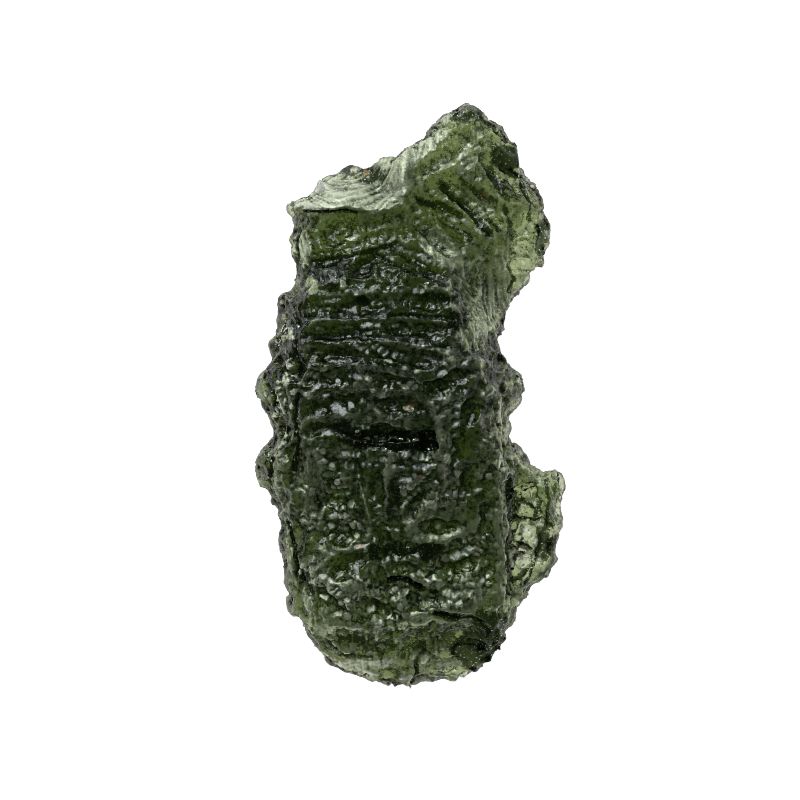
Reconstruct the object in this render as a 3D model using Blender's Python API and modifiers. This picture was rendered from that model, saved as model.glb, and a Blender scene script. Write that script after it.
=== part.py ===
"""A rough moldavite: a flattened, deeply etched lump of natural green glass, lying on its back.

The script works in millimetres and ends in metres. The stone's length runs along Y, its breadth
along X, and its broad sculpted face looks along +Z. The origin is on the resting plane, under the
middle of the stone's box.

The stone starts as a slab of its own outline. Its upper and lower surfaces are then drawn out to
their heights, etched scoops are worn into them, and a small flat is cut where it rests.
"""

import math

import bmesh
import bpy
import numpy as np
from mathutils import Vector, noise

# Driving dimensions in millimetres
LENGTH = 32.2
BREADTH = 17.05
THICKNESS = 8.6
METRES = 0.001

# Grain of the working meshes, and the number of triangles that the finished stone keeps
SLAB_GRAIN = 0.26
RELIEF_GRAIN = 0.18
TRIANGLES = 9700

# The slab that the surfaces are drawn from
SLAB_HALF = 1.0

# The rim: its middle height, its half thickness, and how far in the two faces reach full height
RIM_HEIGHT = 3.5
RIM_HALF = 0.75
UPPER_SHOULDER = 1.7
LOWER_SHOULDER = 3.6

# How the rim's middle rises and falls: height, turns to the millimetre along X and Y, start
RIM_WAVES = [(0.35, 0.0, 0.55, 0.6), (0.25, 0.9, 0.7, 0.0)]

# The outline from above, clockwise from the peak, as points in millimetres from the box's middle
PEAK = [(3.05, 16.1), (3.5, 15.95), (3.9, 15.8), (4.1, 15.45), (4.3, 15.2), (4.7, 14.85), (5.1, 14.65),
        (5.2, 14.4), (5.55, 14.15), (5.7, 13.8), (5.8, 13.5), (6.0, 12.95), (6.3, 12.45), (6.5, 12.0)]
RIGHT_LOBE = [(6.85, 11.6), (7.05, 11.3), (7.2, 10.85), (7.45, 10.0), (7.5, 9.5), (7.6, 8.8), (7.6, 8.25),
              (7.6, 7.9), (7.4, 7.6), (7.25, 7.35), (6.75, 7.15), (6.75, 6.7), (6.5, 6.5), (6.4, 5.9)]
NECK_BAY = [(5.95, 5.85), (5.75, 5.5), (5.45, 5.35), (5.3, 4.95), (5.35, 4.5), (5.4, 4.05), (5.2, 3.75),
            (4.95, 3.45), (4.85, 3.2), (4.9, 2.9), (5.15, 2.8), (5.1, 2.6), (4.9, 2.5), (5.2, 2.05)]
SIDE_KNOB = [(5.15, 1.85), (5.35, 1.6), (5.7, 1.5), (6.1, 1.2), (6.25, 0.95), (6.25, 0.4), (6.1, 0.05),
             (5.8, -0.3)]
SIDE_NOTCH = [(5.35, -0.55), (5.2, -0.9), (5.25, -1.3), (5.35, -1.75), (5.45, -2.15), (5.65, -2.5),
              (5.95, -2.8), (6.4, -3.35), (6.8, -3.65)]
WING = [(7.2, -3.9), (7.65, -3.95), (8.0, -4.15), (8.4, -4.3), (8.5, -4.6), (8.5, -5.1), (8.4, -5.55),
        (8.35, -6.1), (8.5, -6.7), (8.4, -7.1), (8.15, -7.85), (8.05, -8.2), (8.1, -8.45), (7.9, -9.25),
        (7.75, -9.45), (7.45, -9.85), (7.2, -10.25), (6.85, -10.5), (6.55, -10.8), (6.3, -11.2)]
LOWER_RIGHT = [(6.0, -11.55), (5.85, -12.0), (5.55, -12.25), (5.35, -12.7), (5.25, -13.05), (5.25, -13.4),
               (4.9, -13.85), (4.75, -14.1), (4.45, -14.35), (4.2, -14.6), (3.7, -14.85), (3.25, -15.05),
               (3.0, -15.35), (2.6, -15.3), (2.3, -15.35), (1.95, -15.5), (1.7, -15.5), (1.5, -15.35)]
FOOT_KNOB = [(1.2, -15.25), (0.75, -15.25), (0.4, -15.35), (0.3, -15.6), (0.15, -15.95), (-0.1, -16.1),
             (-0.3, -16.0), (-0.5, -15.85), (-0.85, -15.9)]
LOWER_LEFT = [(-1.15, -15.75), (-1.5, -15.55), (-1.95, -15.45), (-2.45, -15.45), (-2.95, -15.25),
              (-3.35, -15.0), (-3.7, -15.0), (-4.0, -14.85), (-4.2, -14.6), (-4.7, -14.2), (-5.0, -13.95),
              (-5.3, -13.7), (-5.5, -13.4), (-5.7, -13.1), (-5.8, -12.75), (-6.1, -12.5), (-6.2, -12.2),
              (-6.4, -12.1), (-6.5, -11.8), (-6.75, -11.55), (-6.9, -11.2), (-6.9, -10.7)]
LEFT_LOW_SIDE = [(-6.95, -10.4), (-7.0, -9.95), (-7.0, -9.6), (-6.8, -9.45), (-6.85, -9.3), (-7.1, -9.1),
                 (-7.2, -8.8), (-7.2, -8.4), (-7.25, -7.9), (-7.4, -7.7), (-7.4, -7.35), (-7.25, -7.0),
                 (-7.3, -6.65), (-7.45, -6.2), (-7.55, -5.8), (-7.85, -5.35)]
LEFT_CORNER = [(-8.15, -4.85), (-8.4, -4.3), (-8.5, -3.75), (-8.55, -3.3), (-8.3, -2.85), (-7.9, -2.55),
               (-7.65, -2.2), (-7.55, -1.8), (-7.5, -1.45), (-7.8, -1.2), (-8.05, -0.95), (-8.0, -0.6)]
LEFT_LUMPS = [(-8.1, -0.4), (-8.3, -0.1), (-8.45, 0.3), (-8.5, 0.55), (-8.35, 0.95), (-8.2, 1.4),
              (-8.0, 1.65), (-7.65, 2.0), (-7.5, 2.3), (-7.6, 2.6), (-7.85, 2.9), (-7.8, 3.2),
              (-7.55, 3.75), (-7.45, 4.3), (-7.1, 4.6), (-7.25, 5.05), (-7.35, 5.5), (-7.2, 5.65)]
LEFT_WAIST = [(-6.85, 5.7), (-6.6, 5.8), (-6.45, 6.0), (-6.35, 6.4), (-6.3, 7.0), (-6.45, 7.25),
              (-6.65, 7.65), (-6.7, 8.25), (-6.7, 8.85), (-6.65, 9.35), (-6.45, 9.75)]
SMALL_HORN = [(-6.55, 10.0), (-6.8, 10.2), (-6.95, 10.45), (-6.95, 10.65), (-6.85, 10.85), (-6.65, 10.9),
              (-6.4, 10.85), (-6.15, 10.65), (-5.9, 10.8)]
CHIP_EDGE = [(-5.65, 11.05), (-5.45, 11.35), (-5.4, 11.65), (-5.2, 11.95), (-4.75, 12.15), (-4.25, 12.25),
             (-3.9, 12.4), (-3.55, 12.55), (-3.2, 12.6), (-2.65, 12.6), (-2.15, 12.75), (-1.85, 12.95),
             (-1.5, 12.9), (-1.05, 13.0), (-0.8, 13.25), (-0.5, 13.6), (-0.15, 13.7), (0.25, 13.85)]
PEAK_SLOPE = [(0.5, 14.2), (1.05, 14.6), (1.45, 14.85), (1.85, 15.2), (2.0, 15.5), (2.3, 15.7), (2.85, 15.9)]
OUTLINE = (PEAK + RIGHT_LOBE + NECK_BAY + SIDE_KNOB + SIDE_NOTCH + WING + LOWER_RIGHT + FOOT_KNOB
           + LOWER_LEFT + LEFT_LOW_SIDE + LEFT_CORNER + LEFT_LUMPS + LEFT_WAIST + SMALL_HORN + CHIP_EDGE
           + PEAK_SLOPE)
OUTLINE_STEPS = 3

# Height of the sculpted face along the length, as (y, height) pairs
SPINE = [(-16.0, 4.7), (-13.6, 5.4), (-12.0, 6.3), (-9.5, 6.7), (-6.0, 7.0), (-2.0, 7.8), (2.0, 8.2),
         (5.5, 7.75), (7.2, 7.3), (9.5, 6.65), (12.0, 6.15), (14.5, 5.9), (16.0, 5.4)]

# How the face curves down across the breadth, from its highest line
CAMBER = 0.012
CAMBER_MIDDLE = -1.5

# The chip broken from the upper left corner: the lip it ends at, and how it falls away beyond
CHIP_LIP = [(-6.4, 10.15), (-3.8, 10.2), (-2.8, 10.1), (-2.3, 9.75), (-1.5, 9.9), (-0.85, 10.1),
            (-0.3, 10.4), (0.0, 10.85), (-0.1, 11.4), (-0.3, 12.4), (-0.4, 13.8)]
CHIP_LIP_RISE = 0.55
CHIP_LIP_WIDTH = 0.9
CHIP_FALL = 1.9
CHIP_FALL_REACH = (0.2, 2.3)
CHIP_LOWEST_Y = 9.4
CHIP_FARTHEST_X = 0.6

# The plateau's edge above the neck, and the depth of the scooped neck beyond it
NECK_EDGE = [(1.2, 9.2), (1.8, 7.4), (2.1, 5.95), (2.3, 4.7), (2.95, 3.65), (3.05, 2.5), (4.2, 1.6)]
NECK_TOP = (6.0, 9.0)
NECK_FOOT = (1.4, 3.0)
NECK_FALL = 2.5
NECK_FALL_REACH = (0.0, 2.4)

# The edge of the high ground above the wing, and the wing's own raised upper rim
WING_EDGE = [(4.6, -2.2), (4.95, -4.2), (5.0, -6.5), (5.05, -9.0), (4.9, -11.0), (4.75, -13.6)]
WING_HIGHEST_Y = -2.2
WING_FALL = 1.55
WING_FALL_REACH = (0.1, 1.0)
WING_RIM = [(4.7, -2.4), (5.7, -3.55), (6.6, -4.4), (7.7, -5.1), (7.8, -6.4)]
WING_RIM_RISE = 0.5
WING_RIM_WIDTH = 0.45

# The crevice across the lower end, which deepens towards +X, with the ground lower beyond it
CREVICE = [(-4.6, -12.3), (-2.6, -12.6), (0.6, -12.0), (1.5, -11.8), (3.2, -12.05), (4.2, -12.6),
           (4.6, -13.5)]
CREVICE_HIGHEST_Y = -11.6
CREVICE_FALL = 0.75
CREVICE_FALL_REACH = (0.0, 0.35)
CREVICE_START = (-2.8, 0.8)

# Broad hollows and swells of the sculpted face: centre, half length, half width, turn, rise
FACE_FORMS = [
    ((-3.2, 8.7), 3.3, 1.5, 4, -0.4),
    ((2.4, 9.3), 3.4, 2.2, -48, -0.55),
    ((6.3, 8.4), 1.2, 0.8, 75, -0.5),
    ((3.0, 12.6), 1.5, 1.2, 30, 0.45),
    ((3.1, 15.2), 0.9, 0.8, 0, 1.0),
    ((4.2, -13.3), 0.8, 0.8, 0, 0.5),
    ((5.7, 0.6), 0.7, 0.7, 0, -0.9),
    ((-0.9, 1.6), 4.2, 1.6, 5, 0.35),
    ((-4.6, -5.2), 2.6, 1.4, 80, -0.55),
    ((0.4, -4.4), 2.0, 0.6, 80, 0.35),
    ((1.9, -3.0), 2.2, 0.45, 82, 0.3),
    ((-0.4, -10.2), 1.4, 0.5, -14, -0.6),
    ((3.0, -8.4), 1.5, 1.1, 15, -0.35),
    ((-3.7, -10.3), 1.4, 1.0, 40, 0.35),
    ((1.9, -14.5), 0.8, 0.4, 5, -1.1),
    ((-2.4, -14.7), 1.8, 0.45, -8, -0.45),
    ((-7.2, 2.9), 1.3, 0.5, 60, -0.6),
    ((-7.2, 0.0), 1.3, 0.45, 85, -0.5),
    ((-6.5, 8.4), 1.1, 0.35, 90, -0.7),
    ((6.2, -7.4), 2.2, 0.6, 85, -0.5),
]

# Large etched scoops of the sculpted face: centre, half length, half width, turn, depth
SCOOP_STRENGTH = 1.4
FACE_SCOOPS = [
    ((-3.1, 5.0), 2.4, 0.62, 2, 0.42), ((0.6, 5.3), 1.7, 0.55, -4, 0.4),
    ((-3.9, 3.6), 2.2, 0.55, 1, 0.45), ((0.2, 3.75), 2.2, 0.55, -3, 0.45),
    ((-4.4, 2.4), 2.1, 0.5, 4, 0.4), ((-0.3, 2.35), 2.4, 0.55, -8, 0.45),
    ((-4.6, 1.15), 2.0, 0.5, 8, 0.42), ((-1.2, 1.0), 1.7, 0.5, -12, 0.4),
    ((2.0, 0.9), 1.9, 0.55, 20, 0.42), ((-4.3, -0.25), 2.1, 0.5, 12, 0.4),
    ((-0.7, -0.3), 1.8, 0.5, -4, 0.38), ((3.4, -0.4), 1.3, 0.55, 62, 0.42),
    ((-4.8, -1.6), 1.6, 0.5, 8, 0.38), ((-1.6, -1.9), 1.7, 0.6, 0, 0.45),
    ((2.6, -2.4), 1.7, 0.5, 82, 0.4), ((0.9, -2.4), 1.3, 0.5, 84, 0.4),
    ((-2.9, -3.6), 1.7, 0.5, 84, 0.4), ((-1.8, -4.6), 1.8, 0.45, 88, 0.4),
    ((0.2, -5.6), 1.5, 0.5, 60, 0.4), ((3.0, -4.7), 1.6, 0.5, 86, 0.35),
    ((-4.2, -5.4), 1.3, 0.5, 10, 0.42), ((-3.9, -7.2), 1.5, 0.55, 5, 0.42),
    ((-1.4, -7.6), 1.4, 0.5, -60, 0.42), ((1.5, -7.0), 1.6, 0.45, 8, 0.42),
    ((2.4, -9.0), 1.5, 0.6, 12, 0.38), ((-0.1, -9.2), 1.2, 0.5, -10, 0.4),
    ((-3.6, -9.0), 1.5, 0.6, 30, 0.4), ((-4.5, -11.0), 1.6, 0.55, -50, 0.42),
    ((-1.9, -11.3), 1.6, 0.6, -20, 0.42), ((1.0, -10.8), 1.5, 0.6, 8, 0.35),
    ((-3.2, -13.2), 1.8, 0.6, -14, 0.4), ((2.6, -13.3), 1.5, 0.7, -8, 0.45),
    ((0.2, -13.6), 1.2, 0.6, 25, 0.35), ((2.9, 10.9), 2.1, 0.5, -42, 0.42),
    ((2.3, 9.7), 2.2, 0.5, -46, 0.45), ((1.4, 8.6), 2.0, 0.5, -40, 0.42),
    ((4.3, 10.4), 1.8, 0.45, -58, 0.4), ((0.2, 7.6), 2.1, 0.5, -30, 0.4),
    ((-2.4, 7.5), 1.6, 0.5, 26, 0.4), ((-4.9, 7.4), 1.2, 0.5, 6, 0.35),
    ((-4.2, 9.1), 1.3, 0.5, 30, 0.35), ((4.4, 12.6), 1.3, 0.5, -50, 0.35),
    ((1.6, 12.9), 1.5, 0.55, 28, 0.3), ((5.5, 12.1), 1.1, 0.4, -62, 0.3),
    ((5.6, 9.2), 1.2, 0.45, 65, 0.3), ((6.4, -5.6), 1.0, 0.5, 30, 0.4),
    ((6.2, -8.9), 1.3, 0.5, 80, 0.4), ((7.3, -7.9), 1.3, 0.45, 78, 0.3),
    ((4.1, -6.6), 1.3, 0.45, 88, 0.35), ((4.2, -9.4), 1.4, 0.45, 86, 0.35),
    ((-6.3, -3.9), 1.3, 0.5, 70, 0.35), ((-6.2, -7.4), 1.4, 0.5, 86, 0.38),
    ((-6.0, -10.2), 1.3, 0.5, 80, 0.35), ((-6.6, 1.4), 0.9, 0.45, 40, 0.35),
]

# The hidden back: how it rises from the resting place to the rim, and its own scoops, laid in a spiral
BACK_CENTRE = (-0.5, -1.2)
BACK_REACH = (8.2, 15.0)
BACK_DEPTH = -0.24
BACK_RISE = 2.5
BACK_RISE_POWER = 0.9
BACK_SWELL = 0.22
BACK_SWELL_X = (0.9, 1.3)
BACK_SWELL_Y = (0.55, -0.4)
BACK_SCOOPS = 96
BACK_SCOOPS_LEFT_OUT = 6
BACK_SCOOP_SPREAD = 1.12
BACK_SCOOP_LENGTH = 1.75
BACK_SCOOP_WIDTH = 0.95
BACK_SCOOP_DEPTH = 0.5
GOLDEN_TURN = math.pi * (3.0 - math.sqrt(5.0))

# Thin places of the rim, where the back is hollowed too: centre, half length, half width, turn, rise
BACK_HOLLOWS = [
    ((6.4, 8.3), 1.2, 0.8, 75, 0.6),
    ((-4.6, 11.6), 1.6, 0.9, 20, 0.7),
    ((6.2, -6.6), 2.4, 0.9, 85, 0.6),
    ((2.0, -14.6), 1.2, 0.6, 0, 0.5),
    ((-7.2, 1.4), 2.4, 0.6, 85, 0.6),
    ((-6.5, 8.5), 1.2, 0.6, 90, 0.6),
    ((4.8, 4.6), 1.8, 0.9, 80, 0.5),
]

# Lumps on the sides: their spacing and their height
SIDE_LUMP_SPACING = 1.1
SIDE_LUMP_HEIGHT = 0.42

# The lean at which the etching of the face and of the back begins, and where it is at its full depth
ETCHED_LEAN = (0.15, 0.6)

STONE_COLOUR = (0.045, 0.062, 0.03, 1.0)
STONE_ROUGHNESS = 0.2
STONE_METALLIC = 0.0


def clear_scene():
    """Removes every object of the opened file, so that the stone stands alone."""
    for old in list(bpy.data.objects):
        bpy.data.objects.remove(old, do_unlink=True)


def collection(name):
    """Returns a new collection linked to the scene."""
    group = bpy.data.collections.new(name)
    bpy.context.scene.collection.children.link(group)
    return group


def smooth_step(value, low, high):
    """Returns 0 below low and 1 above high, with a soft rise between."""
    share = np.clip((value - low) / (high - low), 0.0, 1.0)
    return share * share * (3.0 - 2.0 * share)


def line_distance(x, y, line, closed=False):
    """Returns each point's distance to a line of points, and on which side of it the point lies."""
    ends = np.array(line, float)
    starts = ends if closed else ends[:-1]
    stops = np.roll(ends, -1, axis=0) if closed else ends[1:]
    nearest = np.full(x.shape, np.inf)
    side = np.zeros(x.shape)
    for (ax, ay), (bx, by) in zip(starts, stops):
        run_x, run_y = bx - ax, by - ay
        along = np.clip(((x - ax) * run_x + (y - ay) * run_y) / (run_x**2 + run_y**2), 0.0, 1.0)
        off_x, off_y = x - ax - along * run_x, y - ay - along * run_y
        distance = np.hypot(off_x, off_y)
        closer = distance < nearest
        nearest = np.where(closer, distance, nearest)
        side = np.where(closer, np.sign(run_x * off_y - run_y * off_x), side)
    return nearest, side


def oval(x, y, centre, half_length, half_width, turn):
    """Returns the squared distance from an oval's middle, where 1 is its edge."""
    angle = math.radians(turn)
    off_x, off_y = x - centre[0], y - centre[1]
    along = off_x * math.cos(angle) + off_y * math.sin(angle)
    across = off_y * math.cos(angle) - off_x * math.sin(angle)
    return (along / half_length) ** 2 + (across / half_width) ** 2


def scoop_depth(x, y, scoops):
    """Returns how deep the overlapping scoops reach, which meet in sharp crests."""
    depth = np.zeros(x.shape)
    for centre, half_length, half_width, turn, deep in scoops:
        bowl = deep * (1.0 - oval(x, y, centre, half_length, half_width, turn))
        depth = np.maximum(depth, bowl)
    return depth


def chip_ground(x, y):
    """Returns each point's distance to the chip's lip, and whether the point lies on the chip."""
    distance, side = line_distance(x, y, CHIP_LIP)
    return distance, (side > 0) & (y > CHIP_LOWEST_Y) & (x < CHIP_FARTHEST_X)


def face_height(x, y):
    """Returns the height of the sculpted face, before its scoops."""
    spine_y, spine_height = zip(*SPINE)
    height = np.interp(y, spine_y, spine_height) - CAMBER * (x - CAMBER_MIDDLE) ** 2
    for centre, half_length, half_width, turn, rise in FACE_FORMS:
        height = height + rise * np.exp(-oval(x, y, centre, half_length, half_width, turn))

    distance, beyond = chip_ground(x, y)
    lip = CHIP_LIP_RISE * np.exp(-distance / CHIP_LIP_WIDTH)
    height = np.where(beyond, height + lip - CHIP_FALL * smooth_step(distance, *CHIP_FALL_REACH), height)

    distance, side = line_distance(x, y, NECK_EDGE)
    beyond = (side > 0) & (y > NECK_FOOT[0]) & (y < NECK_TOP[1])
    ends = smooth_step(y, *NECK_FOOT) * (1.0 - smooth_step(y, *NECK_TOP))
    height = np.where(beyond, height - NECK_FALL * ends * smooth_step(distance, *NECK_FALL_REACH), height)

    distance, side = line_distance(x, y, WING_EDGE)
    beyond = (side > 0) & (y < WING_HIGHEST_Y)
    height = np.where(beyond, height - WING_FALL * smooth_step(distance, *WING_FALL_REACH), height)
    distance, _ = line_distance(x, y, WING_RIM)
    height = height + WING_RIM_RISE * np.exp(-((distance / WING_RIM_WIDTH) ** 2))

    distance, side = line_distance(x, y, CREVICE)
    beyond = (side < 0) & (y < CREVICE_HIGHEST_Y)
    fall = CREVICE_FALL * smooth_step(x, *CREVICE_START) * smooth_step(distance, *CREVICE_FALL_REACH)
    return np.where(beyond, height - fall, height)


def back_height(x, y):
    """Returns the height of the hidden back, before its scoops."""
    reach = ((x - BACK_CENTRE[0]) / BACK_REACH[0]) ** 2 + ((y - BACK_CENTRE[1]) / BACK_REACH[1]) ** 2
    wave_x = np.sin(BACK_SWELL_X[0] * x + BACK_SWELL_X[1])
    wave_y = np.sin(BACK_SWELL_Y[0] * y + BACK_SWELL_Y[1])
    swell = BACK_SWELL * wave_x * wave_y * np.minimum(reach * 2.0, 1.0)
    height = BACK_DEPTH + BACK_RISE * reach**BACK_RISE_POWER + swell
    for centre, half_length, half_width, turn, rise in BACK_HOLLOWS:
        height = height + rise * np.exp(-oval(x, y, centre, half_length, half_width, turn))
    return height


def back_scoops():
    """Returns the scoops of the back, spread in a spiral from the resting place outwards."""
    scoops = []
    for count in range(BACK_SCOOPS):
        reach = BACK_SCOOP_SPREAD * math.sqrt((count + BACK_SCOOPS_LEFT_OUT) / BACK_SCOOPS)
        angle = count * GOLDEN_TURN
        place = (BACK_CENTRE[0] + reach * BACK_REACH[0] * math.cos(angle),
                 BACK_CENTRE[1] + reach * BACK_REACH[1] * math.sin(angle))
        turn = 35.0 * math.sin(0.4 * place[1]) + 20.0 * math.cos(0.7 * place[0])
        size = 1.0 + 0.3 * math.sin(2.4 * count)
        scoops.append((place, size * BACK_SCOOP_LENGTH, size * BACK_SCOOP_WIDTH, turn, BACK_SCOOP_DEPTH))
    return scoops


def outline_slab():
    """Returns a slab mesh of the stone's outline: a filled curve, extruded both ways."""
    curve = bpy.data.curves.new("outline", "CURVE")
    curve.dimensions = "2D"
    curve.fill_mode = "BOTH"
    curve.extrude = SLAB_HALF
    curve.resolution_u = OUTLINE_STEPS
    spline = curve.splines.new("BEZIER")
    spline.bezier_points.add(len(OUTLINE) - 1)
    for point, (x, y) in zip(spline.bezier_points, OUTLINE):
        point.co = (x, y, 0.0)
        point.handle_left_type = "AUTO"
        point.handle_right_type = "AUTO"
    spline.use_cyclic_u = True
    maker = bpy.data.objects.new("outline", curve)
    bpy.context.scene.collection.objects.link(maker)
    mesh = mesh_of(maker)
    bpy.data.objects.remove(maker)
    bpy.data.curves.remove(curve)

    caps = bmesh.new()
    caps.from_mesh(mesh)
    bmesh.ops.remove_doubles(caps, verts=caps.verts, dist=0.0001)
    bmesh.ops.recalc_face_normals(caps, faces=caps.faces)
    caps.to_mesh(mesh)
    caps.free()
    return mesh


def mesh_of(maker):
    """Returns a new mesh of an object with its modifiers applied."""
    graph = bpy.context.evaluated_depsgraph_get()
    return bpy.data.meshes.new_from_object(maker.evaluated_get(graph))


def remeshed(mesh, grain, smoothing):
    """Returns the mesh made anew on an even grain, then smoothed that many times."""
    maker = bpy.data.objects.new("grain", mesh)
    bpy.context.scene.collection.objects.link(maker)
    even = maker.modifiers.new("even grain", "REMESH")
    even.mode = "VOXEL"
    even.voxel_size = grain
    if smoothing:
        soft = maker.modifiers.new("soften", "SMOOTH")
        soft.factor = 0.5
        soft.iterations = smoothing
    result = mesh_of(maker)
    bpy.data.objects.remove(maker)
    bpy.data.meshes.remove(mesh)
    return result


def coordinates(mesh, what="vertices", field="co"):
    """Returns the mesh's vertex places, or another field of three numbers, as an array."""
    items = getattr(mesh, what)
    values = np.empty(len(items) * 3)
    items.foreach_get(field, values)
    return values.reshape(-1, 3)


def draw_out(mesh):
    """Moves the slab's vertices to the heights of the face, the back and the rim."""
    place = coordinates(mesh)
    x, y = place[:, 0], place[:, 1]
    level = np.clip(place[:, 2] / SLAB_HALF, -1.0, 1.0)
    inside, _ = line_distance(x, y, OUTLINE, closed=True)
    rim = RIM_HEIGHT + sum(rise * np.sin(turn_x * x + turn_y * y + start)
                           for rise, turn_x, turn_y, start in RIM_WAVES)
    upper_share = np.sqrt(1.0 - (1.0 - np.minimum(inside / UPPER_SHOULDER, 1.0)) ** 2)
    lower_share = np.sqrt(1.0 - (1.0 - np.minimum(inside / LOWER_SHOULDER, 1.0)) ** 2)
    upper = RIM_HALF + (face_height(x, y) - rim - RIM_HALF) * upper_share
    lower = RIM_HALF + (rim - RIM_HALF - back_height(x, y)) * lower_share
    place[:, 2] = rim + np.where(level > 0.0, level * upper, level * lower)
    mesh.vertices.foreach_set("co", place.ravel())
    mesh.update()


def etch(mesh):
    """Wears the scoops into the face and the back, and raises lumps on the sides."""
    place = coordinates(mesh)
    outward = coordinates(mesh, "vertex_normals", "vector")
    x, y = place[:, 0], place[:, 1]
    face_share = smooth_step(outward[:, 2], *ETCHED_LEAN)
    back_share = smooth_step(-outward[:, 2], *ETCHED_LEAN)
    side_share = 1.0 - np.maximum(face_share, back_share)
    _, chip = chip_ground(x, y)
    worn = face_share * np.where(chip, 0.0, SCOOP_STRENGTH * scoop_depth(x, y, FACE_SCOOPS))
    worn = worn + back_share * scoop_depth(x, y, back_scoops())
    lumps = np.array([noise.noise(Vector(p) / SIDE_LUMP_SPACING) for p in place])
    move = SIDE_LUMP_HEIGHT * side_share * lumps - worn
    mesh.vertices.foreach_set("co", (place + outward * move[:, None]).ravel())
    mesh.update()


def fit_box(mesh):
    """Brings the stone to its driving dimensions, in metres, with the back's low side below the plane."""
    place = coordinates(mesh)
    low, high = place.min(axis=0), place.max(axis=0)
    middle = (low + high) / 2.0
    place[:, 0] = (place[:, 0] - middle[0]) * BREADTH / (high[0] - low[0])
    place[:, 1] = (place[:, 1] - middle[1]) * LENGTH / (high[1] - low[1])
    place[:, 2] = place[:, 2] * THICKNESS / high[2]
    mesh.vertices.foreach_set("co", (place * METRES).ravel())
    mesh.update()


def stone_material():
    """Returns the stone's dark green glass."""
    material = bpy.data.materials.new("etched_glass")
    material.use_nodes = True
    shader = material.node_tree.nodes["Principled BSDF"]
    shader.inputs["Base Color"].default_value = STONE_COLOUR
    shader.inputs["Roughness"].default_value = STONE_ROUGHNESS
    shader.inputs["Metallic"].default_value = STONE_METALLIC
    return material


def resting_plane_cutter(guides):
    """Returns a block whose top is the resting plane."""
    size = 2.0 * LENGTH * METRES
    bpy.ops.mesh.primitive_cube_add(size=size, location=(0.0, 0.0, -size / 2.0))
    cutter = bpy.context.object
    cutter.name = "resting_plane_cutter"
    cutter.display_type = "WIRE"
    cutter.hide_render = True
    for group in list(cutter.users_collection):
        group.objects.unlink(cutter)
    guides.objects.link(cutter)
    return cutter


def moldavite(parts, guides):
    """Builds the stone."""
    mesh = remeshed(outline_slab(), SLAB_GRAIN, 0)
    draw_out(mesh)
    mesh = remeshed(mesh, RELIEF_GRAIN, 1)
    etch(mesh)
    mesh = remeshed(mesh, RELIEF_GRAIN, 1)
    fit_box(mesh)
    mesh.name = "moldavite"
    mesh.materials.clear()
    mesh.materials.append(stone_material())
    stone = bpy.data.objects.new("moldavite", mesh)
    parts.objects.link(stone)

    mesh.calc_loop_triangles()
    facets = stone.modifiers.new("facets", "DECIMATE")
    facets.ratio = TRIANGLES / len(mesh.loop_triangles)
    rest = stone.modifiers.new("resting flat", "BOOLEAN")
    rest.operation = "DIFFERENCE"
    rest.object = resting_plane_cutter(guides)
    mesh.shade_smooth()
    return stone


def main():
    """Builds the stone in its own collection, with its cutter in another."""
    clear_scene()
    moldavite(collection("moldavite"), collection("cutters"))


main()
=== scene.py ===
"""The looks of a rough moldavite: its etched surface, its green glass, and the studio it lies in."""

import enum
import logging
import math
from dataclasses import dataclass

import bpy
import numpy as np
from mathutils import Matrix, Vector, kdtree, noise


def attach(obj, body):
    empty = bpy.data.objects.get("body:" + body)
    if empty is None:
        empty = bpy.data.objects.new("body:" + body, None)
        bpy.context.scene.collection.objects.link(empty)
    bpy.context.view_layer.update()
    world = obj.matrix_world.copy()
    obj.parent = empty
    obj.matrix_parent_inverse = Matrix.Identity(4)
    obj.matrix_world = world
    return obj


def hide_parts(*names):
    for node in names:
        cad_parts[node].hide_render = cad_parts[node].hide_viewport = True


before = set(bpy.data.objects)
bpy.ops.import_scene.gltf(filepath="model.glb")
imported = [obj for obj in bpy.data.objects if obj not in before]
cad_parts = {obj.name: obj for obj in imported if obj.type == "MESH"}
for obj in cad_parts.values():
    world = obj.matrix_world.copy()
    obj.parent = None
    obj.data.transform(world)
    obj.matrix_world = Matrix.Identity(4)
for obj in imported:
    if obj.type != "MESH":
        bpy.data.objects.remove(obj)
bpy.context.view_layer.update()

log = logging.getLogger("moldavite")

Point = tuple[float, float]
Colour = tuple[float, float, float]

MILLIMETRE = 0.001
TINY = 1e-6

# The drawing on which the markings are placed: its unit in millimetres, and where the origin is on it.
DRAWING_UNIT = 0.055
DRAWING_CENTRE = (410.5, 397.0)

# Where a stroke and a patch fade out: the outer edge and the inner one, as shares of their half width.
STROKE_EDGE = (-1.25, -0.35)
PATCH_EDGE = (-1.5, -0.6)

# The turn of the light about the vertical, in degrees, from the stone's peaked end anticlockwise.
LIGHT_TURN = 20.0

# A bead's half height as a share of the drawn height, and its least half length as a share of that.
BEAD_HALF_HEIGHT = 0.58
BEAD_SHORTEST = 0.7

# How far a bead strays along its row, as a share of the spacing, and off it, in millimetres, each with
# the pace at which the straying changes from bead to bead.
BEAD_SHIFT, BEAD_SHIFT_PACE = 0.22, 7.0
BEAD_STRAY, BEAD_STRAY_PACE = 0.018, 5.0


class Surface(enum.Enum):
    """The kinds of surface noted on the mesh: the satin that the etching leaves, its soil, the tone with its
    painted shade and light, and the painted glints.
    """

    SATIN = "satin"
    # Where a pale glint is painted on the middle of a facet.
    BEAD = "bead"
    # The glass's tone, with the painted shade and painted light in it.
    SHADE = "shade"
    SOIL = "soil"


def on_face(point: Point) -> Point:
    """Turns a place on the drawing, whose y runs down the page, into millimetres on the face."""
    return (point[0] - DRAWING_CENTRE[0]) * DRAWING_UNIT, (DRAWING_CENTRE[1] - point[1]) * DRAWING_UNIT


def smooth_step(value: np.ndarray, low: float, high: float) -> np.ndarray:
    """Eases a value from 0 to 1.

    Args:
        value: The numbers to ease.
        low: Where the rise starts.
        high: Where the rise ends.

    Returns:
        The eased numbers, from 0 to 1.
    """
    share = np.clip((value - low) / (high - low), 0.0, 1.0)
    return share * share * (3.0 - 2.0 * share)


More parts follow.
